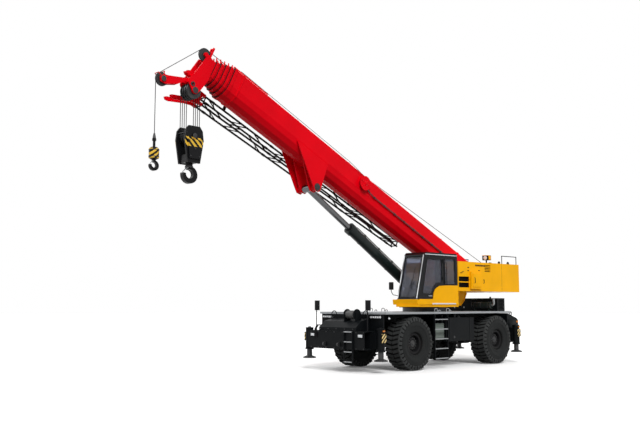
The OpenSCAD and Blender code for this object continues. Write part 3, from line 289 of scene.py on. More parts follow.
# Black paint with yellow stripes outside a given half width and between two heights
def stripeMaterial(name, pitch, lean, side, low, high, bright):
    made = skinMaterial(name, paintSkin, paintLabels, hookPaint, **hookCoat)
    tree = made.node_tree
    skin = next(node for node in tree.nodes if node.type == "GROUP")
    mask = addNode(tree, "ShaderNodeGroup", {"Pitch": pitch, "Lean": lean}, node_tree=stripeMask).outputs
    zone = addMath(tree, "GREATER_THAN", mask["Side"], side)
    for test, edge in (("GREATER_THAN", low), ("LESS_THAN", high)):
        zone = addMath(tree, "MULTIPLY", zone, addMath(tree, test, mask["Height"], edge))
    on = addMath(tree, "MULTIPLY", zone, mask["Mask"])
    tree.links.new(addMix(tree, on, (*hookPaint[0], 1), (*bright, 1)), skin.inputs["Color"])
    return made


for name, stripe in stripes.items():
    finishes[name] = stripeMaterial(name, *stripe)
print("finishes made:", len(finishes))

slotFinish = {
    "carrier_black": "carrierBlack", "deck_grey": "deckGrey", "engine_grey": "engineGrey",
    "step_grey": "stepGrey", "lamp_white": "lampWhite", "mirror_black": "softBlack",
    "ring_steel": "darkSteel", "body_yellow": "bodyYellow", "drum_steel": "darkSteel",
    "cab_black": "cabBlack", "window_glass": "windowGlass", "seat_black": "softBlack", "boom_red": "boomRed",
    "jib_black": "jibBlack", "sheave_black": "darkSteel", "cylinder_dark": "cylinderDark",
    "rod_chrome": "rodChrome", "hook_black": "hookBlack", "jack_steel": "darkSteel", "rim_black": "rimBlack",
    "tyre_rubber": "tyreRubber",
}
nodeFinish = {"main_hook": "hookStripe", "aux_hook": "auxStripe", "silencer": "cylinderDark"}
nodeSlot = {part["node"]: part["material_slot"] for part in frame["record"]["subparts"]}
for name, node in cadNodes.items():
    node.data.materials.clear()
    node.data.materials.append(finishes[nodeFinish.get(name, slotFinish[nodeSlot[name]])])

# Ladder rails are black, the rungs bare
railZones = {"side": ((0.6505, 0.6745), (1.4205, 1.4445)), "nose": ((0.40, 0.424), (0.796, 0.82)),
    "noseX": 3.0, "slack": 0.001}


def paintRails(node, zones):
    mesh, slack = node.data, zones["slack"]
    mesh.materials.append(finishes["carrierBlack"])
    for face in mesh.polygons:
        spots = [node.matrix_world @ mesh.vertices[k].co for k in face.vertices]
        front = spots[0].x > zones["noseX"]
        along = [p.y if front else p.x for p in spots]
        pairs = zones["nose"] if front else zones["side"]
        if any(low - slack < min(along) and max(along) < high + slack for low, high in pairs):
            face.material_index = 1


paintRails(cadNodes["ladders"], railZones)

# Tyres: lug faces worn pale; the gaps between them, the lugs' flanks and the ring next to the rim are painted
# shade
treadZones = {"body": 0.8943, "half": 0.36, "raise": 0.003, "low": 0.84, "bead": 0.405,
    "wall": ((1.0, 0.68), (0.975, 0.86), (0.9, 0.97), (0.74, 1.0)), "inward": -0.2, "flank": 0.5}


def wallReach(radius, zones):
    share, wall = radius / zones["body"], zones["wall"]
    for (r0, y0), (r1, y1) in zip(wall, wall[1:]):
        if r1 <= share <= r0:
            return zones["half"] * (y0 + (y1 - y0) * (r0 - share) / (r0 - r1))
    return 0.0 if share > 1 else zones["half"]


def paintTread(node, zones):
    mesh = node.data
    for finish in ("lugRubber", "grooveRubber"):
        mesh.materials.append(finishes[finish])
    lug, groove = 1, 2
    middle = [math.copysign(a, b) for a, b in zip(wheelAt, node.matrix_world @ mesh.vertices[0].co)]
    turn = node.matrix_world.to_3x3()
    for face in mesh.polygons:
        spot, normal = node.matrix_world @ face.center, turn @ face.normal
        dx, dy, dz = spot.x - middle[0], abs(spot.y - middle[1]), spot.z - middle[2]
        radius = math.hypot(dx, dz)
        # Ring next to the rim: painted shade
        if radius < zones["bead"]:
            face.material_index = groove
        if radius < zones["low"] * zones["body"] or normal.dot((dx, 0, dz)) < zones["inward"] * radius:
            continue
        across = abs(normal.dot((dz / radius, 0, -dx / radius)))
        raised = radius > zones["body"] + zones["raise"] or dy > wallReach(radius, zones) + zones["raise"]
        # Lug flanks and the gaps between lugs take the painted shade
        face.material_index = lug if raised and across < zones["flank"] else groove


for corner in ("fl", "fr", "rl", "rr"):
    paintTread(cadNodes["tyre_" + corner], treadZones)
print("CAD nodes dressed")


# Mesh helpers: every finished piece sits at the origin with its place in its mesh
def placePiece(name, mesh, finish, body):
    mesh.materials.clear()
    mesh.materials.append(finishes[finish])
    piece = bpy.data.objects.new(name, mesh)
    sceneObjects.link(piece)
    if body is not None:
        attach(piece, body)
    return piece


def finishPiece(name, shape, finish, body, smooth=40):
    mesh = bpy.data.meshes.new(name)
    bmesh.ops.recalc_face_normals(shape, faces=shape.faces)
    shape.to_mesh(mesh)
    shape.free()
    mesh.shade_smooth()
    mesh.set_sharp_from_angle(angle=math.radians(smooth))
    return placePiece(name, mesh, finish, body)


# Points on a circle, from a first share of a step on
def circle(count, radius=1.0, first=0.0):
    angles = [2 * math.pi * (k + first) / count for k in range(count)]
    return [(radius * math.cos(a), radius * math.sin(a)) for a in angles]


# Box between two corners, given in any order
def addBox(shape, start, end, bevel=0.0, turn=None):
    low, high = Vector(map(min, start, end)), Vector(map(max, start, end))
    made = bmesh.ops.create_cube(shape, size=1.0)["verts"]
    size = Matrix.Diagonal((*(high - low), 1))
    place = Matrix.Translation((low + high) / 2) @ (turn or Matrix.Identity(4)) @ size
    bmesh.ops.transform(shape, matrix=place, verts=made)
    if bevel > 0:
        edges = list({edge for vert in made for edge in vert.link_edges})
        bmesh.ops.bevel(shape, geom=edges, offset=bevel, segments=2, profile=0.5, affect="EDGES")


# Piece made of boxes, each a start, an end and a bevel
def boxPiece(name, boxes, finish, body):
    shape = bmesh.new()
    for box in boxes:
        addBox(shape, *box)
    return finishPiece(name, shape, finish, body)


def addRod(shape, start, end, radius, sides=20, farRadius=None):
    start, end = Vector(start), Vector(end)
    along = end - start
    place = Matrix.Translation((start + end) / 2) @ along.to_track_quat("Z", "Y").to_matrix().to_4x4()
    far = radius if farRadius is None else farRadius
    bmesh.ops.create_cone(shape, cap_ends=True, segments=sides, radius1=radius, radius2=far,
        depth=along.length, matrix=place)


# Walls between closed rings of vertices, back to the first ring
def joinRings(shape, rings):
    for first, second in zip(rings, rings[1:] + rings[:1]):
        for k in range(len(first)):
            follow = (k + 1) % len(first)
            shape.faces.new((first[k], first[follow], second[follow], second[k]))


# Lathe of (radius, height) points about an axis through a centre
def addLathe(shape, profile, centre, axis, sides=48):
    place = Matrix.Translation(centre) @ Vector(axis).to_track_quat("Z", "Y").to_matrix().to_4x4()
    joinRings(shape, [[shape.verts.new(place @ Vector((radius * x, radius * y, height)))
        for x, y in circle(sides)]
        for radius, height in profile])


# Lathe profiles: a square ring, a cap with a chamfered rim, a domed lens and a round ring
latheHole = 0.001


def bandProfile(inner, outer, low, high):
    return [(inner, low), (outer, low), (outer, high), (inner, high)]


def capProfile(wide, rim, top, height):
    return [(latheHole, 0.0), (wide, 0.0), (wide, rim), (top, height), (latheHole, height)]


def lensProfile(rise, crown, shoulder, wide, depth):
    return [(latheHole, rise), (crown, shoulder), (wide, 0.0), (wide, -depth), (latheHole, -depth)]


def roundProfile(radius, height, wide, high, count):
    return [(radius + wide * x, height + high * y) for x, y in circle(count)]


# Plate with a drawn outline, given thickness along a direction
def addPlate(shape, outline, along):
    along = Vector(along)
    near = [shape.verts.new(Vector(point)) for point in outline]
    far = [shape.verts.new(Vector(point) + along) for point in outline]
    shape.faces.new(near)
    shape.faces.new(list(reversed(far)))
    for k in range(len(outline)):
        follow = (k + 1) % len(outline)
        shape.faces.new((near[follow], near[k], far[k], far[follow]))


# Flat strip between two points, lying on a face with the given outward direction
def addStrip(shape, start, end, width, thick, out, sunk=0.2):
    start, end, out = Vector(start), Vector(end), Vector(out).normalized()
    side = (end - start).normalized().cross(out) * width / 2
    lift = out * thick
    corners = [start - side, start + side, end + side, end - side]
    addPlate(shape, [c - lift * sunk for c in corners], lift * (1 + sunk))


# Geometry Nodes trees
def growTree(name, inputs):
    return newTree(name, "GeometryNodeTree", {"Geometry": "Geometry", **inputs, "Finish": "Material"},
        {"Geometry": "Geometry"})


def endTree(tree, enter, leave, geometry, smooth=False):
    result = addNode(tree, "GeometryNodeRealizeInstances", {0: geometry}).outputs[0]
    if smooth:
        result = addNode(tree, "GeometryNodeSetShadeSmooth", {0: result}).outputs[0]
    paint = addNode(tree, "GeometryNodeSetMaterial", {"Geometry": result, "Material": enter["Finish"]})
    tree.links.new(paint.outputs[0], leave[0])
    return tree


def addTube(tree, curve, ring):
    return addNode(tree, "GeometryNodeCurveToMesh", {"Curve": curve.outputs[0],
        "Profile Curve": ring.outputs[0], "Fill Caps": True}).outputs[0]


# Round tube along a drawn line, with its corners filleted
def makeTubeTree():
    tree, enter, leave = growTree("pathTube", {"Radius": "Float", "Bend": "Float", "Sides": "Int"})
    curve = addNode(tree, "GeometryNodeMeshToCurve", {"Mesh": enter["Geometry"]})
    fillet = addNode(tree, "GeometryNodeFilletCurve", {"Curve": curve.outputs[0], "Radius": enter["Bend"],
        "Count": 6, "Limit Radius": True}, mode="POLY")
    ring = addNode(tree, "GeometryNodeCurvePrimitiveCircle", {"Resolution": enter["Sides"],
        "Radius": enter["Radius"]})
    return endTree(tree, enter, leave, addTube(tree, fillet, ring), True)


# Hexagon bolt on a washer at every point
def makeBoltTree():
    tree, enter, leave = growTree("boltField", {"Radius": "Float", "Height": "Float", "Axis": "Vector"})
    points = addNode(tree, "GeometryNodeMeshToPoints", {"Mesh": enter["Geometry"]})
    head = addNode(tree, "GeometryNodeMeshCylinder", {"Vertices": 6, "Radius": enter["Radius"],
        "Depth": enter["Height"]})
    washer = addNode(tree, "GeometryNodeMeshCylinder", {"Vertices": 14,
        "Radius": addMath(tree, "MULTIPLY", enter["Radius"], 1.35),
        "Depth": addMath(tree, "MULTIPLY", enter["Height"], 0.35)})
    lift = addNode(tree, "ShaderNodeCombineXYZ", {"Z": addMath(tree, "MULTIPLY", enter["Height"], 0.5)})
    raised = addNode(tree, "GeometryNodeTransform", {"Geometry": head.outputs[0],
        "Translation": lift.outputs[0]})
    bolt = addNode(tree, "GeometryNodeJoinGeometry", {0: raised.outputs[0]})
    tree.links.new(washer.outputs[0], bolt.inputs[0])
    aim = addNode(tree, "FunctionNodeAlignRotationToVector", {"Vector": enter["Axis"]}, axis="Z")
    spread = addNode(tree, "GeometryNodeInstanceOnPoints", {"Points": points.outputs[0],
        "Instance": bolt.outputs[0], "Rotation": aim.outputs[0]})
    return endTree(tree, enter, leave, spread.outputs[0])


# Row of slats along a step
def makeSlatTree():
    tree, enter, leave = growTree("slatRow", {"Count": "Int", "Start": "Vector", "Step": "Vector",
        "Size": "Vector", "Tilt": "Vector"})
    line = addNode(tree, "GeometryNodeMeshLine", {"Count": enter["Count"], "Start Location": enter["Start"],
        "Offset": enter["Step"]})
    slat = addNode(tree, "GeometryNodeMeshCube", {"Size": enter["Size"]})
    spread = addNode(tree, "GeometryNodeInstanceOnPoints", {"Points": line.outputs[0],
        "Instance": slat.outputs[0], "Rotation": enter["Tilt"]})
    return endTree(tree, enter, leave, spread.outputs[0])


# Wire rope wound in even turns along Y
def makeCoilTree():
    tree, enter, leave = growTree("ropeCoil", {"Turns": "Float", "Radius": "Float", "Length": "Float",
        "Rope": "Float", "Place": "Vector"})
    spiral = addNode(tree, "GeometryNodeCurveSpiral", {"Resolution": 28, "Rotations": enter["Turns"],
        "Start Radius": enter["Radius"], "End Radius": enter["Radius"], "Height": enter["Length"]})
    ring = addNode(tree, "GeometryNodeCurvePrimitiveCircle", {"Resolution": 8, "Radius": enter["Rope"]})
    move = addNode(tree, "GeometryNodeTransform", {"Geometry": addTube(tree, spiral, ring),
        "Translation": enter["Place"], "Rotation": (-math.pi / 2, 0, 0)})
    return endTree(tree, enter, leave, move.outputs[0], True)


tubeTree, boltTree, slatTree, coilTree = makeTubeTree(), makeBoltTree(), makeSlatTree(), makeCoilTree()


# Runs a tree on a few points or lines and keeps the result as a plain mesh
def growPiece(name, tree, points, inputs, finish, body, lines=False):
    base = bpy.data.meshes.new(name + "Base")
    verts, edges = [], []
    for path in points if lines else [points]:
        first = len(verts)
        verts += [tuple(p) for p in path]
        if lines:
            edges += [(first + k, first + k + 1) for k in range(len(path) - 1)]
    base.from_pydata(verts, edges, [])
    seed = bpy.data.objects.new(name + "Seed", base)
    sceneObjects.link(seed)
    grow = seed.modifiers.new("grow", "NODES")
    grow.node_group = tree
    values = dict(inputs, Finish=finishes[finish])
    for socket in tree.interface.items_tree:
        if socket.item_type == "SOCKET" and socket.in_out == "INPUT" and socket.name in values:
            grow[socket.identifier] = values[socket.name]
    mesh = bpy.data.meshes.new_from_object(seed.evaluated_get(bpy.context.evaluated_depsgraph_get()))
    mesh.name = name
    seed.modifiers.remove(grow)
    bpy.data.objects.remove(seed)
    return placePiece(name, mesh, finish, body)


def addTubes(name, paths, radius, finish, body, bend=0.05, sides=10):
    inputs = {"Radius": radius, "Bend": bend, "Sides": sides}
    return growPiece(name, tubeTree, paths, inputs, finish, body, True)


def addBolts(name, points, axis, radius, height, finish, body):
    inputs = {"Radius": radius, "Height": height, "Axis": axis}
    return growPiece(name, boltTree, points, inputs, finish, body)


print("node trees made")


# Small shared shapes: a box with a middle and half width in y, a closed line, a grab handle, even values
def midBox(x0, x1, y, half, z0, z1, bevel=0.0):
    return (x0, y - half, z0), (x1, y + half, z1), bevel


def closeLine(points):
    return [*points, points[0]]


def grabLine(start, end, out):
    start, end, out = Vector(start), Vector(end), Vector(out)
    return [start, start + out, end + out, end]


def evenValues(first, last, steps):
    return [first + (last - first) * k / steps for k in range(steps + 1)]


# Boom frame: u along the boom, v up from the foot pin's line
boomLine = {"angle": 25.0, "foot": (-1.816, 0.0, 3.625), "tip": 12.93, "step": 0.15, "half": 0.425,
    "up": 0.62, "nest": 0.04, "down": 0.40, "bends": 7, "chamfer": 0.04}
noseSheave = (14.82, -1.08)
boomBodies = ["base_boom", "second", "third", "fourth", "fifth", "tip"]
boomPlace = Matrix.Translation(boomLine["foot"]) @ Matrix.Rotation(-math.radians(boomLine["angle"]), 4, "Y")


def boomSpot(u, y, v):
    return boomPlace @ Vector((u, y, v))


def boomMesh(name, shape, finish, body, smooth=40):
    bmesh.ops.transform(shape, matrix=boomPlace, verts=shape.verts)
    return finishPiece(name, shape, finish, body, smooth)


def sectionTip(i):
    return boomLine["tip"] + i * boomLine["step"]


def sectionUp(i):
    return boomLine["up"] - i * boomLine["nest"]


def sectionHalf(i):
    return boomLine["half"] - i * boomLine["nest"]


def sectionOutline(i, grow):
    bends, chamfer = boomLine["bends"], boomLine["chamfer"]
    wide, top = sectionHalf(i) + grow, sectionUp(i) + grow
    middle = i * boomLine["nest"] - boomLine["down"] - grow + wide * math.cos(math.pi / 2 / bends)
    bent = evenValues(math.pi, 2 * math.pi, bends)
    return [(wide, top - chamfer), (wide - chamfer, top), (chamfer - wide, top), (-wide, top - chamfer)] + [
        (wide * math.cos(a), middle + wide * math.sin(a)) for a in bent]


# Hoist rope: from the winch over the boom to the head; a span between two bodies is left in place on no body
hoistRope = {"radius": 0.011, "sides": 8, "y": 0.09, "line": 0.731, "leave": 7.16, "lastRoller": 9.9,
    "drum": (-3.95, 0.09, 3.962), "bendX": -1.0, "top": (13.93, 0.465, 0.207), "nose": (*noseSheave, 0.197),
    "lapEnd": math.radians(-2), "noseLap": math.radians(76), "tailSteps": 60, "spanSteps": 8, "arcSteps": 12}


def ropePiece(name, points, bodyA, bodyB=None):
    inputs = {"Radius": hoistRope["radius"], "Bend": 0.0, "Sides": hoistRope["sides"]}
    piece = growPiece(name, tubeTree, [points], inputs, "wireRope", None, True)
    if bodyB is None:
        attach(piece, bodyA)
    else:
        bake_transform(piece)


def dividePath(first, last, count):
    return [first.lerp(last, k / count) for k in range(count + 1)]


def makeHoistRope(settings):
    y, line, roller, steps = (settings[key] for key in ("y", "line", "lastRoller", "arcSteps"))
    topU, topV, topR = settings["top"]
    noseU, noseV, noseR = settings["nose"]
    fall = (topV + topR - line) / (topU - roller)

    def overBoom(u):
        return boomSpot(u, y, line + max(0.0, u - roller) * fall)

    leave = boomSpot(settings["leave"], y, line)
    tail = dividePath(Vector(settings["drum"]), leave, settings["tailSteps"])
    ropePiece("hoistRopeTail", tail, "upper", "base_boom")
    ropePiece("hoistRopeBase", [leave, overBoom(roller), overBoom(sectionTip(0))], "base_boom")
    for i in range(1, 6):
        far = sectionTip(i) if i < 5 else topU
        path = dividePath(overBoom(sectionTip(i - 1)), overBoom(far), settings["spanSteps"])
        ropePiece("hoistRopeSpan%d" % (i + 1), path, boomBodies[i - 1], boomBodies[i])
    # Round the top sheave, straight down to the nose sheave and over it
    touch = math.atan2(noseV - topV, noseU - topU) + math.pi / 2
    path = [boomSpot(topU + topR * math.cos(a), y, topV + topR * math.sin(a))
        for a in evenValues(math.pi / 2, touch, steps)]
    path += [boomSpot(noseU + noseR * math.cos(a), 0.0, noseV + noseR * math.sin(a))
        for a in evenValues(touch, settings["lapEnd"], steps)]
    ropePiece("hoistRopeHead", path, "tip")
    # The last of the lap hangs with the hook, so that it meets the fall at every boom angle
    centre = boomSpot(noseU, 0.0, noseV)
    ropePiece("hoistRopeNose", [centre + Vector((noseR * math.cos(a), 0, noseR * math.sin(a)))
        for a in evenValues(0.0, settings["noseLap"], steps)], "aux_block")


makeHoistRope(hoistRope)
print("hoist rope run")

# Rope wound on the drums: start of the winding, radius, length and body
drumRope = {"pitch": 0.0235, "rope": 0.0112}
drums = {
    "rearDrumRope": ((-3.95, -0.31, 3.75), 0.212, 0.62, "upper"),
    "mainDrumRope": ((-2.95, -0.31, 3.565), 0.212, 0.62, "upper"),
    "frontDrumRope": ((4.45, 0.19, 1.96), 0.13, 0.40, "carrier"),
}
for name, (place, radius, length, body) in drums.items():
    growPiece(name, coilTree, [(0, 0, 0)], {"Turns": length / drumRope["pitch"], "Radius": radius,
        "Length": length, "Rope": drumRope["rope"], "Place": place}, "wireRope", body)
print("drums wound")

# Wheels: nuts, rim bolts, hub cap, lock ring, rings on the side wall and tread blocks
wheelTrim = {
    "nuts": (12, 0.182, 0.1585), "rimBolts": (16, 0.252, 0.101), "capBolts": (6, 0.088, 0.19),
    "cap": ((latheHole, 0.205), (0.045, 0.205), (0.052, 0.198), (0.056, 0.186), (0.112, 0.184),
        (0.118, 0.178), (0.118, 0.166), (latheHole, 0.166)),
    "wallRings": ((0.46, 0.3185, 0.007), (0.488, 0.324, 0.005), (0.628, 0.353, 0.008), (0.648, 0.357, 0.005)),
    "lugs": 18, "block": (0.046, 0.145, 0.022), "blockAt": (0.169, 0.905), "blockTurn": 14,
    "shoulder": ((0.288, 0.926), (0.326, 0.903), (0.357, 0.803), (0.347, 0.752), (0.288, 0.752)),
    "shoulderTurn": 2.4, "valve": ((0.215, 0.292), (0.262, 0.284)),
    "lockRing": ((0.322, 0.222), (0.349, 0.2495), (0.357, 0.2495), (0.360, 0.243), (0.352, 0.2185),
        (0.33, 0.21)),
}
wheelBodies = {"wheel_fl": (1, 1), "wheel_fr": (1, -1), "wheel_rl": (-1, 1), "wheel_rr": (-1, -1)}


# Blocks half way between the tyre's own lugs, on the tread and down its shoulder
def addTreadBlocks(shape, settings, centre, side):
    width, length, depth = settings["block"]
    away, radius = settings["blockAt"]
    place = Matrix.Translation(centre)
    for s in bothSides:
        for k in range(settings["lugs"]):
            at = 2 * math.pi * (k + 0.5 + s * side * 0.25) / settings["lugs"]
            roll = place @ Matrix.Rotation(at, 4, "Y")
            wall = place @ Matrix.Rotation(at + s * side * math.radians(settings["shoulderTurn"]), 4, "Y")
            turn = Matrix.Rotation(math.radians(s * settings["blockTurn"]), 4, "Z")
            lug = roll @ Matrix.Translation((0, s * away, radius)) @ turn
            corners = ((-width, -length), (width, -length), (width, length), (-width, length))
            addPlate(shape, [lug @ Vector((x, y, -depth)) for x, y in corners],
                roll.to_3x3() @ Vector((0, 0, 2 * depth)))
            addPlate(shape, [wall @ Vector((-width, s * y, z)) for y, z in settings["shoulder"]],
                wall.to_3x3() @ Vector((2 * width, 0, 0)))


def makeWheelTrim(body, settings, end, side):
    centre = Vector((end * wheelAt[0], side * wheelAt[1], wheelAt[2]))
    out = Vector((0, side, 0))

    def ringSpots(count, radius, away):
        return [centre + out * away + Vector((x, 0, z)) for x, z in circle(count, radius)]

    nuts, rimBolts = ringSpots(*settings["nuts"]), ringSpots(*settings["rimBolts"])
    addBolts(body + "Nuts", nuts, out, 0.021, 0.026, "darkSteel", body)
    addBolts(body + "RimBolts", rimBolts, out, 0.014, 0.014, "darkSteel", body)
    cap = bmesh.new()
    addLathe(cap, settings["cap"], centre, out, 40)
    for spot in ringSpots(*settings["capBolts"]):
        addRod(cap, spot - out * 0.008, spot + out * 0.004, 0.009, 6)
    finishPiece(body + "HubCap", cap, "darkSteel", body)
    rings = bmesh.new()
    for radius, away, size in settings["wallRings"]:
        addLathe(rings, roundProfile(radius, away, size * 1.5, size, 8), centre, out, 96)
    finishPiece(body + "WallRings", rings, "tyreRubber", body, 60)
    blocks = bmesh.new()
    addTreadBlocks(blocks, settings, centre, side)
    finishPiece(body + "TreadBlocks", blocks, "lugRubber", body, 20)
    beads = bmesh.new()
    addLathe(beads, settings["lockRing"], centre, out, 80)
    addRod(beads, *(centre + out * away + Vector((0, 0, up)) for away, up in settings["valve"]), 0.006, 8)
    finishPiece(body + "LockRing", beads, "rimBlack", body, 50)


for body, (end, side) in wheelBodies.items():
    makeWheelTrim(body, wheelTrim, end, side)
print("wheels trimmed")

# Cushion with rounded edges, crowned faces and pinched seams
cushion = {"cuts": 9, "power": 6, "crown": 0.12, "seam": 0.62, "seamWide": 0.05, "pinch": 0.05}


def addCushion(name, low, high, lean, finish):
    shape = bmesh.new()
    size, middle = Vector(high) - Vector(low), (Vector(low) + Vector(high)) / 2
    bmesh.ops.create_cube(shape, size=2.0)
    bmesh.ops.subdivide_edges(shape, edges=shape.edges[:], cuts=cushion["cuts"], use_grid_fill=True)
    turn = Matrix.Rotation(math.radians(lean), 4, "Y")
    lying, power = min(size) == size.z, cushion["power"]
    for vert in shape.verts:
        q = vert.co / sum(abs(a) ** power for a in vert.co) ** (1 / power)
        long = q.x if lying else q.z
        crown = 1 + cushion["crown"] * (1 - long * long) * (1 - q.y * q.y)
        puff, rise = (1.0, crown) if lying else (crown, 1.0)
        pleat = 1 - cushion["pinch"] * math.exp(-((abs(q.y) - cushion["seam"]) / cushion["seamWide"]) ** 2)
        vert.co = middle + turn @ Vector((q.x * size.x / 2 * puff * pleat, q.y * size.y / 2,
            q.z * size.z / 2 * rise * pleat))
    piece = finishPiece(name, shape, finish, "upper", 180)


# Operator's seat: sprung base and consoles stand for the plain seat, with padded cushions on them.
# Each box has its x from and to, half width, heights above the floor, and bevel or lean
cabSeat = {
    "y": 1.075, "floor": 2.36, "console": 0.33,
    "base": (0.46, 0.94, 0.19, 0.0, 0.06, 0.012), "top": (0.44, 0.98, 0.20, 0.28, 0.34, 0.012),
    "bellows": 6, "fold": 0.035, "foldOut": 0.012,
    "consoleBoxes": ((0.55, 1.05, 0.06, 0.0, 0.52, 0.02), (0.48, 1.12, 0.07, 0.50, 0.57, 0.025)),
    "cushions": {"seatCushion": (0.42, 1.0, 0.25, 0.335, 0.485, -4),
        "seatBack": (0.255, 0.395, 0.24, 0.44, 1.05, -9), "seatHeadrest": (0.17, 0.29, 0.15, 1.08, 1.29, -9)},
    "armPad": (0.47, 0.83, 0.06, 0.56, 0.625, 0),
    "leverFoot": (0.98, 0.565), "leverTop": (1.0, 0.76), "boot": (4, 0.016, 0.05, 0.046, 0.009),
}


def addLever(name, foot, top, boot):
    stick = bmesh.new()
    folds, rise, wide, narrow, taper = boot
    for k in range(folds):
        profile = [(0.002, 0.0), (wide - taper * k, 0.0), (narrow - taper * k, rise), (0.002, rise)]
        addLathe(stick, profile, foot + Vector((0, 0, rise * k)), (0, 0, 1), 20)
    grip, knob = top + Vector((0.004, 0, 0.055)), top + Vector((0.006, 0, 0.068))
    addRod(stick, foot, top, 0.009, 12)
    addRod(stick, top - Vector((0.003, 0, 0.05)), grip, 0.02, 16, 0.027)
    addRod(stick, grip, knob, 0.027, 16, 0.015)
    addBox(stick, top + Vector((0.016, -0.012, 0.02)), top + Vector((0.034, 0.012, 0.05)), 0.004)
    finishPiece(name, stick, "softBlack", "upper")


def makeSeat(settings):
    y, floor = settings["y"], settings["floor"]

    def seatBox(mid, x0, x1, half, low, high, last):
        return midBox(x0, x1, mid, half, floor + low, floor + high, last)

    boxes = [seatBox(y, *settings["base"])]
    for k in range(settings["bellows"]):
        grow, low = settings["foldOut"] * (k % 2), 0.06 + settings["fold"] * k
        boxes.append(seatBox(y, 0.50 - grow, 0.90 + grow, 0.15 + grow, low, low + 0.038, 0.008))
    boxes.append(seatBox(y, *settings["top"]))
    mids = [y + s * settings["console"] for s in bothSides]
    boxes += [seatBox(mid, *box) for mid in mids for box in settings["consoleBoxes"]]
    piece = boxPiece("seatBase", boxes, "softBlack", "upper")
    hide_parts("cab_seat")
    for name, box in settings["cushions"].items():
        addCushion(name, *seatBox(y, *box), "seatCloth")
    (footX, footUp), (topX, topUp) = settings["leverFoot"], settings["leverTop"]
    for name, mid in zip(("rightArm", "leftArm"), mids):
        addCushion(name + "Pad", *seatBox(mid, *settings["armPad"]), "softBlack")
        foot, top = Vector((footX, mid, floor + footUp)), Vector((topX, mid, floor + topUp))
        addLever(name + "Lever", foot, top, settings["boot"])


makeSeat(cabSeat)

# Dashboard, steering wheel, pedals and screen
cabControls = {
    "dash": ((2.12, 2.42), (2.09, 2.74), (1.99, 2.90), (1.76, 2.86), (1.72, 2.80), (1.88, 2.62), (1.90, 2.37),
        (2.08, 2.37)), "dashY": (0.70, 0.75), "keys": (5, 0.78, 0.15, 0.05),
    "wheel": (1.56, 1.075, 3.02), "wheelRadius": 0.19, "wheelRim": 0.014, "wheelAxis": (-0.62, 0, 0.78),
    "spokes": (90, 210, 330), "hub": ((latheHole, -0.02), (0.05, -0.02), (0.055, 0.0), (0.04, 0.018),
    (latheHole, 0.022)), "column": (1.86, 1.075, 2.64), "pedals": (0.95, 1.2), "screenTilt": -20,
}


def makeControls(settings):
    dash = bmesh.new()
    start, width = settings["dashY"]
    addPlate(dash, [(x, start, z) for x, z in settings["dash"]], (0, width, 0))
    count, first, step, size = settings["keys"]
    for k in range(count):
        addBox(dash, (1.80, first + step * k, 2.875), (1.93, first + size + step * k, 2.895), 0.004)
    finishPiece("dashboard", dash, "softBlack", "upper", 30)
    wheel = bmesh.new()
    centre, radius, rim = Vector(settings["wheel"]), settings["wheelRadius"], settings["wheelRim"]
    axis, left = Vector(settings["wheelAxis"]).normalized(), Vector((0, 1, 0))
    addLathe(wheel, roundProfile(radius, 0.0, rim, rim, 12), centre, axis, 48)
    flat = axis.cross(left).normalized()
    for a in map(math.radians, settings["spokes"]):
        addRod(wheel, centre, centre + (flat * math.cos(a) + left * math.sin(a)) * radius, 0.012, 10)
    addLathe(wheel, settings["hub"], centre, axis, 24)
    addRod(wheel, centre - axis * 0.01, settings["column"], 0.032, 16)
    finishPiece("steeringWheel", wheel, "softBlack", "upper")
    pedals = bmesh.new()
    for y in settings["pedals"]:
        addPlate(pedals, [(1.66, y - 0.045, 2.44), (1.66, y + 0.045, 2.44), (1.80, y + 0.04, 2.56),
            (1.80, y - 0.04, 2.56)], (0.008, 0, -0.012))
        addRod(pedals, (1.74, y, 2.50), (1.89, y, 2.42), 0.012, 10)
    finishPiece("pedals", pedals, "darkSteel", "upper")
    screen = bmesh.new()
    tilt = Matrix.Rotation(math.radians(settings["screenTilt"]), 4, "Y")
    addBox(screen, (1.70, 0.76, 3.00), (1.73, 1.00, 3.18), 0.006, tilt)
    addRod(screen, (1.73, 0.88, 3.05), (1.84, 0.88, 2.87), 0.012, 10)
    finishPiece("cabScreen", screen, "softBlack", "upper")


makeControls(cabControls)

# Outer trims of the cab: bright strips, seals, handles, wiper and mirror
cabTrim = {
    "near": 1.55, "nearFace": 1.552, "foot": (2.306, 2.52), "brow": (1.885, 4.10), "pillars": (0.63, 1.52),
    "seal": 0.009, "pane": ((0.035, 0.69), (0.965, 0.69), (0.965, 1.46), (0.035, 1.46)),
    "quarter": ((0.06, 3.06), (0.69, 3.06), (0.69, 4.0), (0.08, 4.0)),
    "farFace": 0.598, "far": ((0.06, 3.0), (2.08, 2.8), (1.75, 4.0), (0.08, 4.0)),
    "rearFace": -0.072, "rear": ((0.72, 3.2), (1.43, 3.2), (1.43, 3.94), (0.72, 3.94)),
    "door": ((1.5, 2.68), (2.01, 2.72), (1.71, 3.96), (0.88, 3.96), (0.88, 3.12), (1.12, 3.09), (1.36, 2.96)),
    "wiper": (((0.0, 1.06, 0.02), (0.46, 1.22, 0.022)), ((0.2, 1.20, 0.016), (0.72, 1.24, 0.016))),
    "mirrorArm": ((2.24, 0.61, 2.62), (2.36, 0.44, 2.66), (2.40, 0.40, 2.80), (2.40, 0.40, 3.06)),
    "mirror": (((2.365, 0.30, 2.84), (2.425, 0.50, 3.12), 0.022),
        ((2.36, 0.315, 2.86), (2.368, 0.485, 3.10), 0.002)),
}


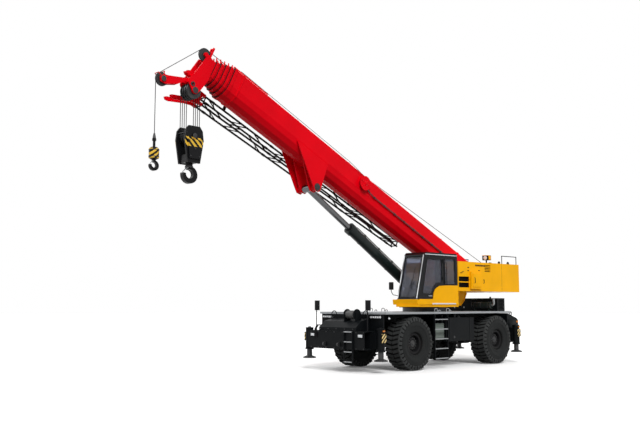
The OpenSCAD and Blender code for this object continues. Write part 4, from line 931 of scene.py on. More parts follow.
def makeCabTrim(settings):
    (footX, footZ), (browX, browZ) = settings["foot"], settings["brow"]
    near, face, seal = settings["near"], settings["nearFace"], settings["seal"]
    ahead, left = Vector((browZ - footZ, 0, footX - browX)).normalized(), (0, 1, 0)

    def paneSpot(t, y, away):
        return Vector((footX + (browX - footX) * t, y, footZ + (browZ - footZ) * t)) + ahead * away

    silver = bmesh.new()
    for y in settings["pillars"]:
        addStrip(silver, (footX, y, footZ), (browX, y, browZ), 0.036, 0.008, ahead)
    addStrip(silver, (-0.04, near, 4.125), (1.84, near, 4.125), 0.028, 0.010, left)
    addStrip(silver, (0.10, near + 0.03, 2.335), (1.50, near + 0.03, 2.335), 0.045, 0.008, left)
    finishPiece("cabBrightTrim", silver, "brightTrim", "upper")
    seals = [[paneSpot(t, y, 0.004) for t, y in settings["pane"]],
        [(x, face, z) for x, z in settings["quarter"]],
        [(x, settings["farFace"], z) for x, z in settings["far"]],
        [(settings["rearFace"], y, z) for y, z in settings["rear"]]]
    addTubes("cabSeals", map(closeLine, seals), seal, "softBlack", "upper", 0.03, 8)
    door = closeLine([(x, face, z) for x, z in settings["door"]])
    addTubes("doorSeal", [door], seal, "softBlack", "door", 0.03, 8)
    handle = grabLine((1.50, face, 2.615), (1.68, face, 2.615), (0, 0.038, 0))
    addTubes("doorHandle", [handle], 0.010, "brightTrim", "door", 0.02, 10)
    wiper = [[paneSpot(*spot) for spot in line] for line in settings["wiper"]]
    addTubes("wiperArm", wiper, 0.009, "softBlack", "upper", 0.0, 8)
    rail = grabLine((0.66, face, 3.05), (0.66, face, 3.85), (0, 0.058, 0))
    addTubes("cabGrabRail", [rail], 0.014, "softBlack", "upper", 0.03, 10)
    addTubes("mirrorArm", [settings["mirrorArm"]], 0.013, "softBlack", "upper", 0.06, 10)
    boxPiece("cabMirror", settings["mirror"], "softBlack", "upper")


makeCabTrim(cabTrim)

# Black tray under the cab's platform, ribbed across
cabTray = {"outline": ((0.96, 0.70), (0.96, 1.46), (1.10, 1.50), (2.22, 1.50), (2.31, 1.42), (2.31, 0.70)),
    "z": (2.188, 2.2195), "ribs": (1.2, 1.55, 1.9), "rib": 0.012}


def makeCabTray(settings):
    low, high = settings["z"]
    floor = low + settings["rib"]
    shape = bmesh.new()
    addPlate(shape, [(x, y, floor) for x, y in settings["outline"]], (0, 0, high - floor))
    for x in settings["ribs"]:
        addBox(shape, (x - 0.03, 0.72, low), (x + 0.03, 1.48, floor + 0.002), 0.004)
    finishPiece("cabTray", shape, "carrierBlack", "upper")


makeCabTray(cabTray)
print("cab fitted out")

# Housing: dark backs in the openings and the window and dark slots, all painted shade; slats in the openings,
# small plates, handles, seams, bolts and roof lamp
housing = {
    "side": 1.30, "boxSide": 1.408, "sheet": 0.004, "rim": 0.02, "openX": (-1.15, -0.49),
    "openZ": (2.96, 3.19), "openHigh": 0.19, "openDeep": 0.14, "window": (-2.63, -2.17),
    "windowZ": (3.58, 3.90), "windowDeep": 0.09, "seam": (-1.17, -0.47), "seamZ": (3.258, 3.264),
    "slots": (7, -2.18, 0.095, 0.038), "slotZ": (3.80, 3.865), "plates": ((-1.11, 3.72), (-1.11, 3.60),
    (-1.87, 3.50), (-1.82, 3.62)), "platesY": (1.298, 1.306), "bolts": ((-1.77, 3.02), (-1.77, 3.47),
    (-1.29, 3.02), (-1.29, 3.47)), "boltsY": 1.411, "slats": 7, "slatStep": 0.026, "slat": (0.05, 0.005),
    "slatTilt": 0.6, "slatDeep": 0.05, "lamp": (-2.805, 0.92, 4.195),
    "lampHood": (((-3.02, 0.775, 4.285), (-2.78, 1.065, 4.297), 0.004),
        *(midBox(-2.98, -2.84, y, 0.006, 4.12, 4.27, 0.003) for y in (0.772, 1.068))),
}


def makeHousing(settings):
    side, sheet, rim = settings["side"], settings["sheet"], settings["rim"]
    (x0, x1), high = settings["openX"], settings["openHigh"]
    count, first, step, half = settings["slots"]
    near, far = settings["platesY"]
    backs, seams, handles = [], [], []
    for s in bothSides:
        # Dark sheets at the back of the openings and the window, and flat dark slots: painted shade
        y = s * (side - settings["openDeep"])
        backs += [midBox(x0 - rim, x1 + rim, y, sheet, z - rim, z + high + rim, 0.001)
            for z in settings["openZ"]]
        y = s * (side - settings["windowDeep"])
        backs.append(midBox(*settings["window"], y, sheet, *settings["windowZ"], 0.001))
        seams.append(midBox(*settings["seam"], s * side, 0.002, *settings["seamZ"]))
        for x in (first + step * k for k in range(count)):
            backs.append(midBox(x - half, x + half, s * side, sheet, *settings["slotZ"], 0.002))
        for (xa, za), (xb, zb), y, out in (((-1.36, 3.14), (-1.36, 3.34), settings["boxSide"], 0.04),
                ((-0.60, 3.52), (-0.76, 3.58), near, 0.037), ((-2.11, 3.14), (-2.11, 3.28), near, 0.037)):
            handles.append(grabLine((xa, s * y, za), (xb, s * y, zb), (0, s * out, 0)))
        backs += [((x - 0.05, s * near, z), (x + 0.05, s * far, z + 0.035), 0.003)
            for x, z in settings["plates"]]
    boxPiece("housingBacks", backs, "grilleBlack", "upper")
    boxPiece("housingSeams", seams, "grilleBlack", "upper")
    addTubes("housingHandles", handles, 0.010, "softBlack", "upper", 0.02, 10)
    for s, label in zip(bothSides, ("Right", "Left")):
        spots = [(x, s * settings["boltsY"], z) for x, z in settings["bolts"]]
        addBolts("housingBolts" + label, spots, (0, s, 0), 0.012, 0.010, "bodyYellow", "upper")
        for index, z in enumerate(settings["openZ"]):
            inputs = {"Count": settings["slats"], "Step": (0.0, 0.0, settings["slatStep"]),
                "Start": ((x0 + x1) / 2, s * (side - settings["slatDeep"]), z + 0.017),
                "Size": (x1 - x0 + 0.01, *settings["slat"]), "Tilt": (s * settings["slatTilt"], 0.0, 0.0)}
            growPiece("housingSlats%s%d" % (label, index), slatTree, [(0, 0, 0)], inputs, "grilleBlack",
                "upper")
    lens = bmesh.new()
    addLathe(lens, lensProfile(0.006, 0.075, 0.004, 0.085, 0.012), settings["lamp"], (1, 0, 0), 32)
    finishPiece("roofLampLens", lens, "lampWhite", "upper")
    boxPiece("roofLampHood", settings["lampHood"], "bodyYellow", "upper")


makeHousing(housing)

# Counterweight: lifting lugs, slab seams and tail lamps
tailWeight = {"front": -3.39, "tail": -4.84, "half": 1.30, "top": 3.96, "lugY": 0.95, "lugX": (-3.74, -4.39),
    "lug": ((-0.09, -0.002), (0.09, -0.002), (0.06, 0.10), (0.0, 0.13), (-0.06, 0.10)), "lugThick": 0.03,
    "seamZ": (2.83, 3.95), "tailSeamZ": (3.396, 3.404), "lampY": 0.85, "lampHalf": 0.11,
    "lampZ": (2.94, 3.04)}


def makeTailWeight(settings):
    front, tail, half, top, thick = (settings[key] for key in ("front", "tail", "half", "top", "lugThick"))
    lugs = bmesh.new()
    for y in (s * settings["lugY"] for s in bothSides):
        for x in settings["lugX"]:
            addPlate(lugs, [(x + dx, y - thick / 2, top + dz) for dx, dz in settings["lug"]], (0, thick, 0))
            addLathe(lugs, bandProfile(0.022, 0.045, -0.02, 0.02), (x, y, top + 0.07), (0, 1, 0), 20)
    finishPiece("weightLugs", lugs, "darkSteel", "upper")
    seams = [midBox(front - 0.004, front + 0.004, s * half, 0.002, *settings["seamZ"]) for s in bothSides]
    seams.append(midBox(tail - 0.002, tail + 0.002, 0.0, half - 0.18, *settings["tailSeamZ"]))
    boxPiece("weightSeams", seams, "grilleBlack", "upper")
    lamps = [midBox(tail - 0.016, tail + 0.002, s * settings["lampY"], settings["lampHalf"],
        *settings["lampZ"], 0.008)
        for s in bothSides]
    boxPiece("weightTailLamps", lamps, "lampRed", "upper")


makeTailWeight(tailWeight)

# Gussets that carry the turntable's cheeks on under the housing
cheekTail = {"outline": ((-0.86, 2.262), (-1.50, 2.262), (-1.56, 2.29), (-1.77, 2.46), (-1.95, 2.76),
    (-1.95, 2.798), (-1.15, 2.798)), "y": (0.521, 0.579), "flange": 0.03}


def makeCheekTails(settings):
    y0, y1 = settings["y"]
    low, high = y0 - settings["flange"], y1 + settings["flange"]
    edge = settings["outline"][1:5]
    shape = bmesh.new()
    for s in bothSides:
        addPlate(shape, [(x, s * y0, z) for x, z in settings["outline"]], (0, s * (y1 - y0), 0))
        for (xa, za), (xb, zb) in zip(edge, edge[1:]):
            corners = [(xa, s * low, za), (xb, s * low, zb), (xb, s * high, zb), (xa, s * high, za)]
            addPlate(shape, corners, (0.02, 0, 0.012))
    finishPiece("cheekTails", shape, "bodyYellow", "upper")


makeCheekTails(cheekTail)

# Turntable: ring of base bolts clear of the cheeks and the cab, pin keepers, hoses to the luff cylinder
slewBase = {"radius": 0.82, "z": 2.2605, "count": 36, "cheek": (0.50, 0.60), "cabX": -0.14, "keeperY": 0.58,
    "pinBolts": (8, 0.12), "pinBoltsY": 0.598, "hoses": (-0.36, -0.28, 0.28, 0.36), "spread": 1.2}


def makeSlewBase(settings):
    low, high = settings["cheek"]
    spots = [(x, y, settings["z"]) for x, y in circle(settings["count"], settings["radius"])
        if not low < abs(y) < high and not (y > low and x > settings["cabX"])]
    addBolts("slewBolts", spots, (0, 0, 1), 0.02, 0.022, "darkSteel", "upper")
    pinX, pinZ = boomLine["foot"][::2]
    keepers = bmesh.new()
    for s in bothSides:
        addLathe(keepers, capProfile(0.17, 0.012, 0.15, 0.018), (pinX, s * settings["keeperY"], pinZ),
            (0, s, 0), 40)
    finishPiece("footPinKeepers", keepers, "darkSteel", "upper")
    for s, label in zip(bothSides, ("Right", "Left")):
        spots = [(pinX + x, s * settings["pinBoltsY"], pinZ + z) for x, z in circle(*settings["pinBolts"])]
        addBolts("footPinBolts" + label, spots, (0, s, 0), 0.013, 0.012, "darkSteel", "upper")
    hoses = [[(-0.45, y, 2.27), (-0.45, y, 2.45), *((x, y * settings["spread"], z)
        for x, z in ((-0.62, 2.70), (-0.95, 2.95), (-1.35, 3.02)))] for y in settings["hoses"]]
    addTubes("turnHoses", hoses, 0.02, "softBlack", "upper", 0.12, 10)


makeSlewBase(slewBase)
print("upper works fitted out")

# Carrier: tank straps and caps, lamp lenses and bezels, tread studs and grab rails
carrierTrim = {
    "tankY": 1.48, "tankInner": 0.5, "tankZ": (0.95, 1.82), "strapX": (-0.93, 0.32),
    "strap": 0.06, "capX": -0.40, "capY": 1.30, "drain": (0.10, 1.10),
    "cap": ((latheHole, 0.0), (0.07, 0.0), (0.07, 0.03), (0.062, 0.045), (latheHole, 0.05)),
    "drainCap": ((latheHole, 0.0), (0.05, 0.0), (0.045, 0.012), (latheHole, 0.014)),
    "sideLamp": (3.80, 1.53, 1.825), "bracket": ((3.76, 1.44, 1.78), (3.84, 1.515, 1.96)),
    "markers": (-4.38, 1.332), "markerZ": (1.44, 1.60), "tailX": (-4.545, -4.518), "tailZ": (1.21, 1.29),
    "redY": (0.71, 0.89), "amberY": (0.92, 1.08), "headLamp": ((4.883, 1.095, 1.212), (4.893, 1.225, 1.288)),
    "barY": (0.945, 1.405), "barRibs": (5, 0.96, 0.105), "barZ": (1.836, 1.906), "headY": 1.16,
    "headZ": (1.192, 1.296), "sideRungs": (5, 0.38, 0.35), "sideStuds": (12, 0.72, 0.06),
    "sideY": (1.575, 1.625), "noseRungs": (4, 0.38, 0.337), "noseStuds": (6, 0.445, 0.06),
    "noseX": (4.848, 4.892), "stud": 0.02, "grabX": (0.70, 1.40), "grabY": 1.60,
}


# Values in a row, from a count, a first and a step
def rowValues(count, first, step):
    return [first + step * k for k in range(count)]


def makeCarrierTrim(settings):
    (low, top), half, strap = settings["tankZ"], settings["tankY"], settings["strap"]
    capX, capY = settings["capX"], settings["capY"]
    (drainX, drainZ), (markX, markY) = settings["drain"], settings["markers"]
    (tail0, tail1), (tailLow, tailTop) = settings["tailX"], settings["tailZ"]
    straps, caps, amber, red, clear = (bmesh.new() for k in range(5))

    def mirrorBox(shape, start, end, bevel):
        addBox(shape, (start[0], s * start[1], start[2]), (end[0], s * end[1], end[2]), bevel)

    for s in bothSides:
        for x in settings["strapX"]:
            addBox(straps, *midBox(x, x + strap, s * half, 0.006, low - 0.006, top + 0.006, 0.002))
            mirrorBox(straps, (x, settings["tankInner"], top), (x + strap, half, top + 0.008), 0.002)
        addLathe(caps, settings["cap"], (capX, s * capY, top), (0, 0, 1), 28)
        addBox(caps, *midBox(capX - 0.06, capX + 0.06, s * capY, 0.008, top + 0.048, top + 0.062, 0.003))
        addLathe(caps, settings["drainCap"], (drainX, s * half, drainZ), (0, s, 0), 24)
        lampX, lampY, lampZ = settings["sideLamp"]
        addLathe(clear, lensProfile(0.03, 0.026, 0.026, 0.036, 0.02), (lampX, s * lampY, lampZ), (0, s, 0),
            24)
        mirrorBox(straps, *settings["bracket"], 0.01)
        for z in settings["markerZ"]:
            addLathe(amber, lensProfile(0.02, 0.036, 0.016, 0.046, 0.02), (markX, s * markY, z), (0, s, 0),
                24)
        for lamp, (inner, outer) in ((red, settings["redY"]), (amber, settings["amberY"])):
            mirrorBox(lamp, (tail0, inner, tailLow), (tail1, outer, tailTop), 0.006)
        mirrorBox(clear, *settings["headLamp"], 0.004)
    finishPiece("tankStraps", straps, "carrierBlack", "carrier")
    finishPiece("tankCaps", caps, "darkSteel", "carrier")
    finishPiece("markerLamps", amber, "lampAmber", "carrier")
    finishPiece("tailLamps", red, "lampRed", "carrier")
    finishPiece("headLampLenses", clear, "lampWhite", "carrier")
    # Bezels and ribs of the two lamp bars under the deck's front edge, and of the head lamps
    bezels = bmesh.new()
    inner, outer = settings["barY"]
    for s in bothSides:
        for y in rowValues(*settings["barRibs"]):
            addBox(bezels, *midBox(4.148, 4.158, s * y, 0.006, 1.838, 1.912, 0.002))
        for z in settings["barZ"]:
            mirrorBox(bezels, (4.146, inner, z), (4.156, outer, z + 0.008), 0.002)
        for z in settings["headZ"]:
            addBox(bezels, *midBox(4.882, 4.888, s * settings["headY"], 0.09, z, z + 0.012, 0.002))
    finishPiece("lampBezels", bezels, "softBlack", "carrier")
    # Raised studs in rows on the rungs
    (near, far), (front, back), stud = settings["sideY"], settings["noseX"], settings["stud"]
    studs = [((x, s * near, z - 0.001), (x + stud, s * far, z + 0.005)) for s in bothSides
        for z in rowValues(*settings["sideRungs"]) for x in rowValues(*settings["sideStuds"])]
    studs += [((front, y, z - 0.001), (back, y + stud, z + 0.005))
        for z in rowValues(*settings["noseRungs"]) for y in rowValues(*settings["noseStuds"])]
    boxPiece("rungTreads", studs, "stepGrey", "carrier")
    # Grab rails on the deck beside the side steps
    rails = [grabLine((x, s * settings["grabY"], 2.03), (x - 0.16, s * settings["grabY"], 2.03), (0, 0, 0.13))
        for s in bothSides for x in settings["grabX"]]
    addTubes("deckGrabs", rails, 0.014, "stepGrey", "carrier", 0.05, 10)


makeCarrierTrim(carrierTrim)

# Engine hood: seams, hinges, latches, dark sheets of painted shade behind the air slots, and the silencer's
# bands and tail pipe
hoodTrim = {"x": (-3.39, -2.87), "half": 1.40, "top": 2.56, "foot": 2.05, "seams": (-0.46, 0.46),
    "shadeSheetZ": (2.08, 2.50), "latches": (-1.15, -0.70, -0.22, 0.22, 0.70, 1.15),
    "rearShadeSheets": (-0.92, 0.0, 0.92), "silencer": (-2.69, 2.28), "bands": (0.37, 0.47, 0.80, 1.13, 1.23)}


def makeHoodTrim(settings):
    x0, x1 = settings["x"]
    half, top, foot, shadeSheetZ = (settings[key] for key in ("half", "top", "foot", "shadeSheetZ"))
    seams, latches = [], bmesh.new()
    for y in settings["seams"]:
        seams += [midBox(x0 + 0.01, x1 - 0.01, y, 0.004, top - 0.003, top + 0.002),
            midBox(x1 - 0.002, x1 + 0.002, y, 0.004, foot, top - 0.01)]
    for y in settings["latches"]:
        addRod(latches, (x1 + 0.004, y - 0.05, top - 0.02), (x1 + 0.004, y + 0.05, top - 0.02), 0.012, 12)
        addBox(latches, *midBox(x1 - 0.001, x1 + 0.012, y, 0.03, foot + 0.11, foot + 0.17, 0.004))
    boxPiece("hoodSeams", seams, "grilleBlack", "carrier")
    finishPiece("hoodLatches", latches, "stepGrey", "carrier")
    # Dark sheets behind the air slots: painted shade where the slots look into the hood
    shadeSheets = [midBox(x0 + 0.06, x1 - 0.06, s * (half - 0.075), 0.004, *shadeSheetZ, 0.002) for s in bothSides]
    shadeSheets += [midBox(x0 + 0.07, x0 + 0.078, y, 0.40, *shadeSheetZ, 0.002) for y in settings["rearShadeSheets"]]
    boxPiece("hoodShadeSheets", shadeSheets, "grilleBlack", "carrier")
    x, z = settings["silencer"]
    pipe = [(x, 1.245, z), (x, 1.33, z), (x, 1.36, z + 0.08), (x + 0.03, 1.37, z + 0.28)]
    addTubes("exhaustPipe", [pipe], 0.045, "bareSteel", "carrier", 0.06, 18)
    bands = bmesh.new()
    for y in settings["bands"]:
        addLathe(bands, bandProfile(0.126, 0.138, -0.018, 0.018), (x, y, z), (0, 1, 0), 36)
    finishPiece("silencerBands", bands, "darkSteel", "carrier")


makeHoodTrim(hoodTrim)

# Rear cover with a sloping top over the outrigger box, with straps, side plates and two lifting loops
rearCover = {"outline": ((-3.66, 1.40), (-3.66, 1.955), (-3.70, 1.955), (-4.36, 1.75), (-4.47, 1.66),
    (-4.47, 1.40)), "half": 1.325, "wall": 0.012, "strap": 0.05, "sunk": 0.004,
    "straps": (-0.875, 0.0, 0.875), "loopY": 1.22, "loop": ((-3.99, 1.84), (-3.99, 2.0), (-4.13, 2.0),
    (-4.13, 1.80))}


def makeRearCover(settings):
    half, wall, strap, sunk, outline = (settings[key] for key in ("half", "wall", "strap", "sunk", "outline"))
    shape = bmesh.new()
    addPlate(shape, [(x, -half, z) for x, z in outline], (0, 2 * half, 0))
    for y in settings["straps"]:
        for near, far in zip(outline[1:4], outline[2:5]):
            corners = ((near, -strap), (far, -strap), (far, strap), (near, strap))
            addPlate(shape, [(x, y + dy, z - sunk) for (x, z), dy in corners], (0, 0, wall))
    for s in bothSides:
        addBox(shape, (-4.30, s * half, 1.44), (-3.72, s * (half + wall), 1.70), 0.005)
    finishPiece("rearCover", shape, "carrierBlack", "carrier", 25)
    loops = [[(x, s * settings["loopY"], z) for x, z in settings["loop"]] for s in bothSides]
    addTubes("rearLoops", loops, 0.022, "carrierBlack", "carrier", 0.04, 12)


makeRearCover(rearCover)

# Front of the frame: bolts on the valve cover and the box, tow lugs and hoses
frontTrim = {
    "coverBolts": [(4.845, y, 1.47) for y in (-0.8, -0.4, 0.0, 0.4, 0.8)],
    "boxBolts": [(4.841, y, z) for y in (-1.26, -0.9, -0.5, -0.1, 0.3, 0.95, 1.29) for z in (0.82, 1.36)],
    "towY": (-0.55, 0.15), "tow": ((4.84, 0.86), (4.93, 0.88), (4.96, 0.94), (4.93, 1.0), (4.84, 1.02)),
    "towHalf": 0.02, "hoseY": (-1.06, -1.02, -0.98),
}


def makeFrontTrim(settings):
    half = settings["towHalf"]
    for name, spots, size in (("frontCoverBolts", settings["coverBolts"], 0.014),
            ("frontBoxBolts", settings["boxBolts"], 0.016)):
        addBolts(name, spots, (1, 0, 0), size, 0.012, "darkSteel", "carrier")
    towing = bmesh.new()
    for y in settings["towY"]:
        addPlate(towing, [(x, y - half, z) for x, z in settings["tow"]], (0, 2 * half, 0))
        addLathe(towing, bandProfile(0.026, 0.045, -0.028, 0.028), (4.915, y, 0.94), (0, 1, 0), 24)
    finishPiece("towLugs", towing, "darkSteel", "carrier")
    hoses = [[(4.55, y, 1.56), (4.75, y, 1.60), (4.86, y, 1.45), (4.87, y, 1.20), (4.80, y + 0.05, 1.06)]
        for y in settings["hoseY"]]
    addTubes("frontHoses", hoses, 0.014, "softBlack", "carrier", 0.10, 10)


makeFrontTrim(frontTrim)

# Drive shafts with their joints, gear case and axle casings below
driveLine = {"z": 0.985, "axleZ": 0.945, "x": (0.30, 2.26), "radius": 0.055,
    "case": ((-0.34, -0.26, 0.82), (0.34, 0.26, 1.152)), "joints": ((0.30, 0.0), (2.20, 0.02)),
    "joint": (0.07, 0.095), "collarY": 0.52, "bulgeX": 0.225, "bulge": ((latheHole, 0.0), (0.17, 0.0),
    (0.16, 0.05), (0.10, 0.09), (latheHole, 0.10))}


def makeDriveLine(settings):
    z, (near, far), (length, radius) = settings["z"], settings["x"], settings["joint"]
    shafts = bmesh.new()
    for s in bothSides:
        addRod(shafts, (s * near, 0, z), (s * far, 0, settings["axleZ"]), settings["radius"], 24)
        for x, drop in settings["joints"]:
            addRod(shafts, (s * x, 0, z), (s * (x + length), 0, z - drop), radius, 24)
    addBox(shafts, *settings["case"], 0.04)
    finishPiece("driveLine", shafts, "darkSteel", "carrier")
    casings = bmesh.new()
    axle, height = wheelAt[0], wheelAt[2]
    for x in (-axle, axle):
        for s in bothSides:
            addLathe(casings, bandProfile(0.139, 0.175, -0.03, 0.03), (x, s * settings["collarY"], height),
                (0, 1, 0), 36)
            addLathe(casings, settings["bulge"], (x + settings["bulgeX"] * s, 0, height), (s, 0, 0), 36)
    finishPiece("axleCasings", casings, "carrierBlack", "carrier")


makeDriveLine(driveLine)
print("carrier fitted out")

# Plates behind the side ladders, hung from the deck's skin
stepPlate = {"x": (0.625, 1.24), "y": 1.41, "z": (1.02, 1.62), "skin": 2.026, "inset": 0.1, "half": 0.03,
    "thick": 0.006, "hanger": (0.009, 0.005)}


def makeStepPlates(settings):
    (x0, x1), (z0, z1) = settings["x"], settings["z"]
    inset, half, thick = settings["inset"], settings["half"], settings["thick"]
    back, hang = settings["hanger"]
    plates, hangers = [], []
    for s in bothSides:
        y = s * settings["y"]
        plates.append(midBox(x0, x1, y, thick, z0, z1, 0.003))
        plates += [midBox(x0 + half, x1 - half, y, thick + 0.01, z - half, z + half, 0.006)
            for z in (z0 + inset, z1 - inset)]
        hangers += [midBox(x - half, x + half, y - s * back, hang, z0 + 0.05, settings["skin"], 0.003)
            for x in (x0 + inset, x1 - inset)]
    boxPiece("stepPlates", plates, "stepPaint", "carrier")
    boxPiece("stepHangers", hangers, "carrierBlack", "carrier")


makeStepPlates(stepPlate)
print("step plates hung")

# Boom: collar bolts, rings of painted shade in the collar mouths, seams, pipes and clamps, cable reel, luff
# pin caps and bracket edges
boomTrim = {
    # The wiper and room values give how far the ring of painted shade at each collar mouth reaches out and in
    "collar": 0.024, "collarBack": 0.045, "collarBolts": (0.08, 0.22, 0.36), "wiper": 0.012, "room": 0.006,
    "wiperU": (0.001, 0.008), "seamU": (0.5, 8.2), "seamV": 0.02,
    "pipe": ((0.72, 0.08), (5.80, 0.08), (6.05, 0.12), (6.20, 0.20)), "pipeY": 0.478, "pipeUp": (0.0, 0.034),
    "clamps": (9, 0.9, 0.6), "clampWide": 0.05, "clampY": (0.425, 0.496), "clampV": (0.056, 0.134),
    "reel": (6.43, 0.29), "cable": (5, 0.465, 0.0135), "cableRing": (0.207, 0.0068), "reelY": 0.555,
    "spokeY": 0.558, "spokes": 6, "spoke": (0.06, 0.24), "pin": (8.35, -1.01), "pinY": 0.461,
    "pinBolts": (5, 0.06), "pinBoltsY": 0.4815, "bracket": ((9.74, -0.075), (8.53, -1.05), (8.41, -1.15),
    (8.23, -1.12), (8.185, -1.01), (8.245, -0.075)), "bracketY": 0.447,
}
sideLetters = tuple(zip(bothSides, "RL"))


def makeCollars(settings):
    near, far = settings["wiperU"]
    for i in range(5):
        half, up, tip, body = sectionHalf(i) + settings["collar"], sectionUp(i), sectionTip(i), boomBodies[i]
        for s, letter in sideLetters:
            spots = [boomSpot(tip - settings["collarBack"], s * (half + 0.001), up - down)
                for down in settings["collarBolts"]]
            addBolts("collarBolts%d%s" % (i + 1, letter), spots, (0, s, 0), 0.014, 0.012, "boomRed", body)
        # Dark ring of painted shade round the mouth, clear of the section that slides in it
        wiper = bmesh.new()
        outer, inner = sectionOutline(i, settings["wiper"]), sectionOutline(i + 1, settings["room"])
        joinRings(wiper, [[wiper.verts.new((tip + away, y, v)) for y, v in ring]
            for ring, away in ((outer, near), (outer, far), (inner, far), (inner, near))])
        boomMesh("collarShadeRing%d" % (i + 1), wiper, "softBlack", body, 20)


def makeBoomLines(settings):
    edge = sectionHalf(0)
    seams = [[boomSpot(u, s * edge, settings["seamV"]) for u in settings["seamU"]] for s in bothSides]
    addTubes("boomSeams", seams, 0.006, "boomRed", "base_boom", 0.0, 8)
    pipes = [[boomSpot(u, settings["pipeY"], v + up) for u, v in settings["pipe"]]
        for up in settings["pipeUp"]]
    addTubes("boomPipes", pipes, 0.011, "darkSteel", "base_boom", 0.10, 10)
    clamps = bmesh.new()
    (y0, y1), (v0, v1) = settings["clampY"], settings["clampV"]
    for u in rowValues(*settings["clamps"]):
        addBox(clamps, (u, y0, v0), (u + settings["clampWide"], y1, v1), 0.006)
    boomMesh("pipeClamps", clamps, "darkSteel", "base_boom")


def makeReel(settings):
    u, v = settings["reel"]
    radius, thick = settings["cableRing"]
    near, far = settings["spoke"]
    cable, face, left = bmesh.new(), bmesh.new(), (0, 1, 0)
    for y in rowValues(*settings["cable"]):
        addLathe(cable, roundProfile(radius, 0.0, thick, thick, 8), (u, y, v), left, 48)
    boomMesh("reelCable", cable, "softBlack", "base_boom", 80)
    addLathe(face, capProfile(0.075, 0.012, 0.06, 0.02), (u, settings["reelY"], v), left, 32)
    y = settings["spokeY"]
    for a, b in circle(settings["spokes"]):
        addRod(face, (u + near * a, y, v + near * b), (u + far * a, y, v + far * b), 0.010, 8)
    boomMesh("reelFace", face, "boomRed", "base_boom")
    lead = [boomSpot(*spot) for spot in ((u, 0.50, v + 0.21), (u + 0.6, 0.46, 0.60), (u + 0.9, 0.44, 0.64),
        (12.7, 0.40, 0.66))]
    addTubes("reelLead", [lead], 0.008, "softBlack", "base_boom", 0.15, 8)


def makeBracketTrim(settings):
    u, v = settings["pin"]
    pins = bmesh.new()
    for s in bothSides:
        for profile in (capProfile(0.105, 0.012, 0.09, 0.02), bandProfile(0.115, 0.135, 0.0, 0.008)):
            addLathe(pins, profile, (u, s * settings["pinY"], v), (0, s, 0), 40)
    boomMesh("luffPinCaps", pins, "darkSteel", "base_boom")
    for s, letter in sideLetters:
        spots = [boomSpot(u + a, s * settings["pinBoltsY"], v + b) for a, b in circle(*settings["pinBolts"])]
        addBolts("luffPinBolts" + letter, spots, (0, s, 0), 0.010, 0.010, "darkSteel", "base_boom")
    lines = [[boomSpot(a, s * settings["bracketY"], b) for a, b in settings["bracket"]] for s in bothSides]
    addTubes("bracketEdges", lines, 0.015, "boomRed", "base_boom", 0.06, 8)


for makeTrim in (makeCollars, makeBoomLines, makeReel, makeBracketTrim):
    makeTrim(boomTrim)

# Head: pin caps with bolts, rope guards on the nose sheave and the rope keeper
headTrim = {"caps": (((13.81, -0.82), 0.27, 0.10), (noseSheave, 0.13, 0.085)), "capBolts": 6,
    "pin": (13.96, -0.69), "pinY": 0.245, "guards": (20, 75, 130), "guardRadius": 0.232, "guardY": 0.105,
    "ears": (0.10, 0.235), "earY": 0.10, "keeper": (13.76, 0.45), "keeperY": (0.0225, 0.1575),
    "keeperUp": (0.36, 0.40), "rollers": ((0.005, 0.175, 0.032, 20), (-0.005, 0.185, 0.014, 12))}


def polarSpot(radius, degrees):
    return radius * math.cos(math.radians(degrees)), radius * math.sin(math.radians(degrees))


def makeHeadTrim(settings):
    caps = bmesh.new()
    for s in bothSides:
        for (u, v), away, radius in settings["caps"]:
            addLathe(caps, capProfile(radius, 0.010, radius - 0.02, 0.018), (u, s * away, v), (0, s, 0), 36)
            for a, b in circle(settings["capBolts"], radius - 0.035):
                spot = Vector((u + a, s * (away + 0.016), v + b))
                addRod(caps, spot, spot + Vector((0, s * 0.012, 0)), 0.010, 6)
        u, v = settings["pin"]
        addLathe(caps, bandProfile(0.042, 0.075, 0.0, 0.012), (u, s * settings["pinY"], v), (0, s, 0), 32)
    boomMesh("headPinCaps", caps, "darkSteel", "tip")
    noseU, noseV = noseSheave

    def noseSpot(radius, degrees, y):
        a, b = polarSpot(radius, degrees)
        return Vector((noseU + a, y, noseV + b))

    guards = [[boomPlace @ noseSpot(settings["guardRadius"], turn, s * settings["guardY"]) for s in bothSides]
        for turn in settings["guards"]]
    addTubes("ropeGuards", guards, 0.012, "boomRed", "tip", 0.0, 10)
    ears = bmesh.new()
    for s in bothSides:
        for turn in settings["guards"]:
            addRod(ears, *(noseSpot(radius, turn, s * settings["earY"]) for radius in settings["ears"]),
                0.014, 8)
    boomMesh("guardEars", ears, "boomRed", "tip")
    # Rope keeper that stands on the top sheave's bracket
    keeper = bmesh.new()
    u, v = settings["keeper"]
    axle, high = settings["keeperUp"]
    for y in settings["keeperY"]:
        addBox(keeper, *midBox(u - 0.035, u + 0.035, y, 0.0115, v, v + high, 0.004))
    for start, end, radius, sides in settings["rollers"]:
        addRod(keeper, (u, start, v + axle), (u, end, v + axle), radius, sides)
    boomMesh("ropeKeeper", keeper, "boomRed", "tip")


makeHeadTrim(headTrim)
print("boom fitted out")

# Luff cylinder: feed pipes, clamp bands, gland bolts and wiper
luffTrim = {"foot": (0.0, 0.0, 2.46), "angle": 31.4486, "radius": 0.19, "length": 4.9,
    "pipes": ((62, 4.66), (118, 2.6)), "pipeOut": 0.026, "pipeIn": 0.02, "pipeX": 0.42,
    "bands": (0.75, 1.6, 2.45, 3.3, 4.15), "bolts": (14, 0.165), "wiper": ((0.1075, 0.0), (0.14, 0.0),
    (0.136, 0.014), (0.115, 0.022), (0.1075, 0.022))}
luffPlace = Matrix.Translation(luffTrim["foot"]) @ Matrix.Rotation(-math.radians(luffTrim["angle"]), 4, "Y")


def luffMesh(name, shape, finish):
    bmesh.ops.transform(shape, matrix=luffPlace, verts=shape.verts)
    finishPiece(name, shape, finish, "barrel")


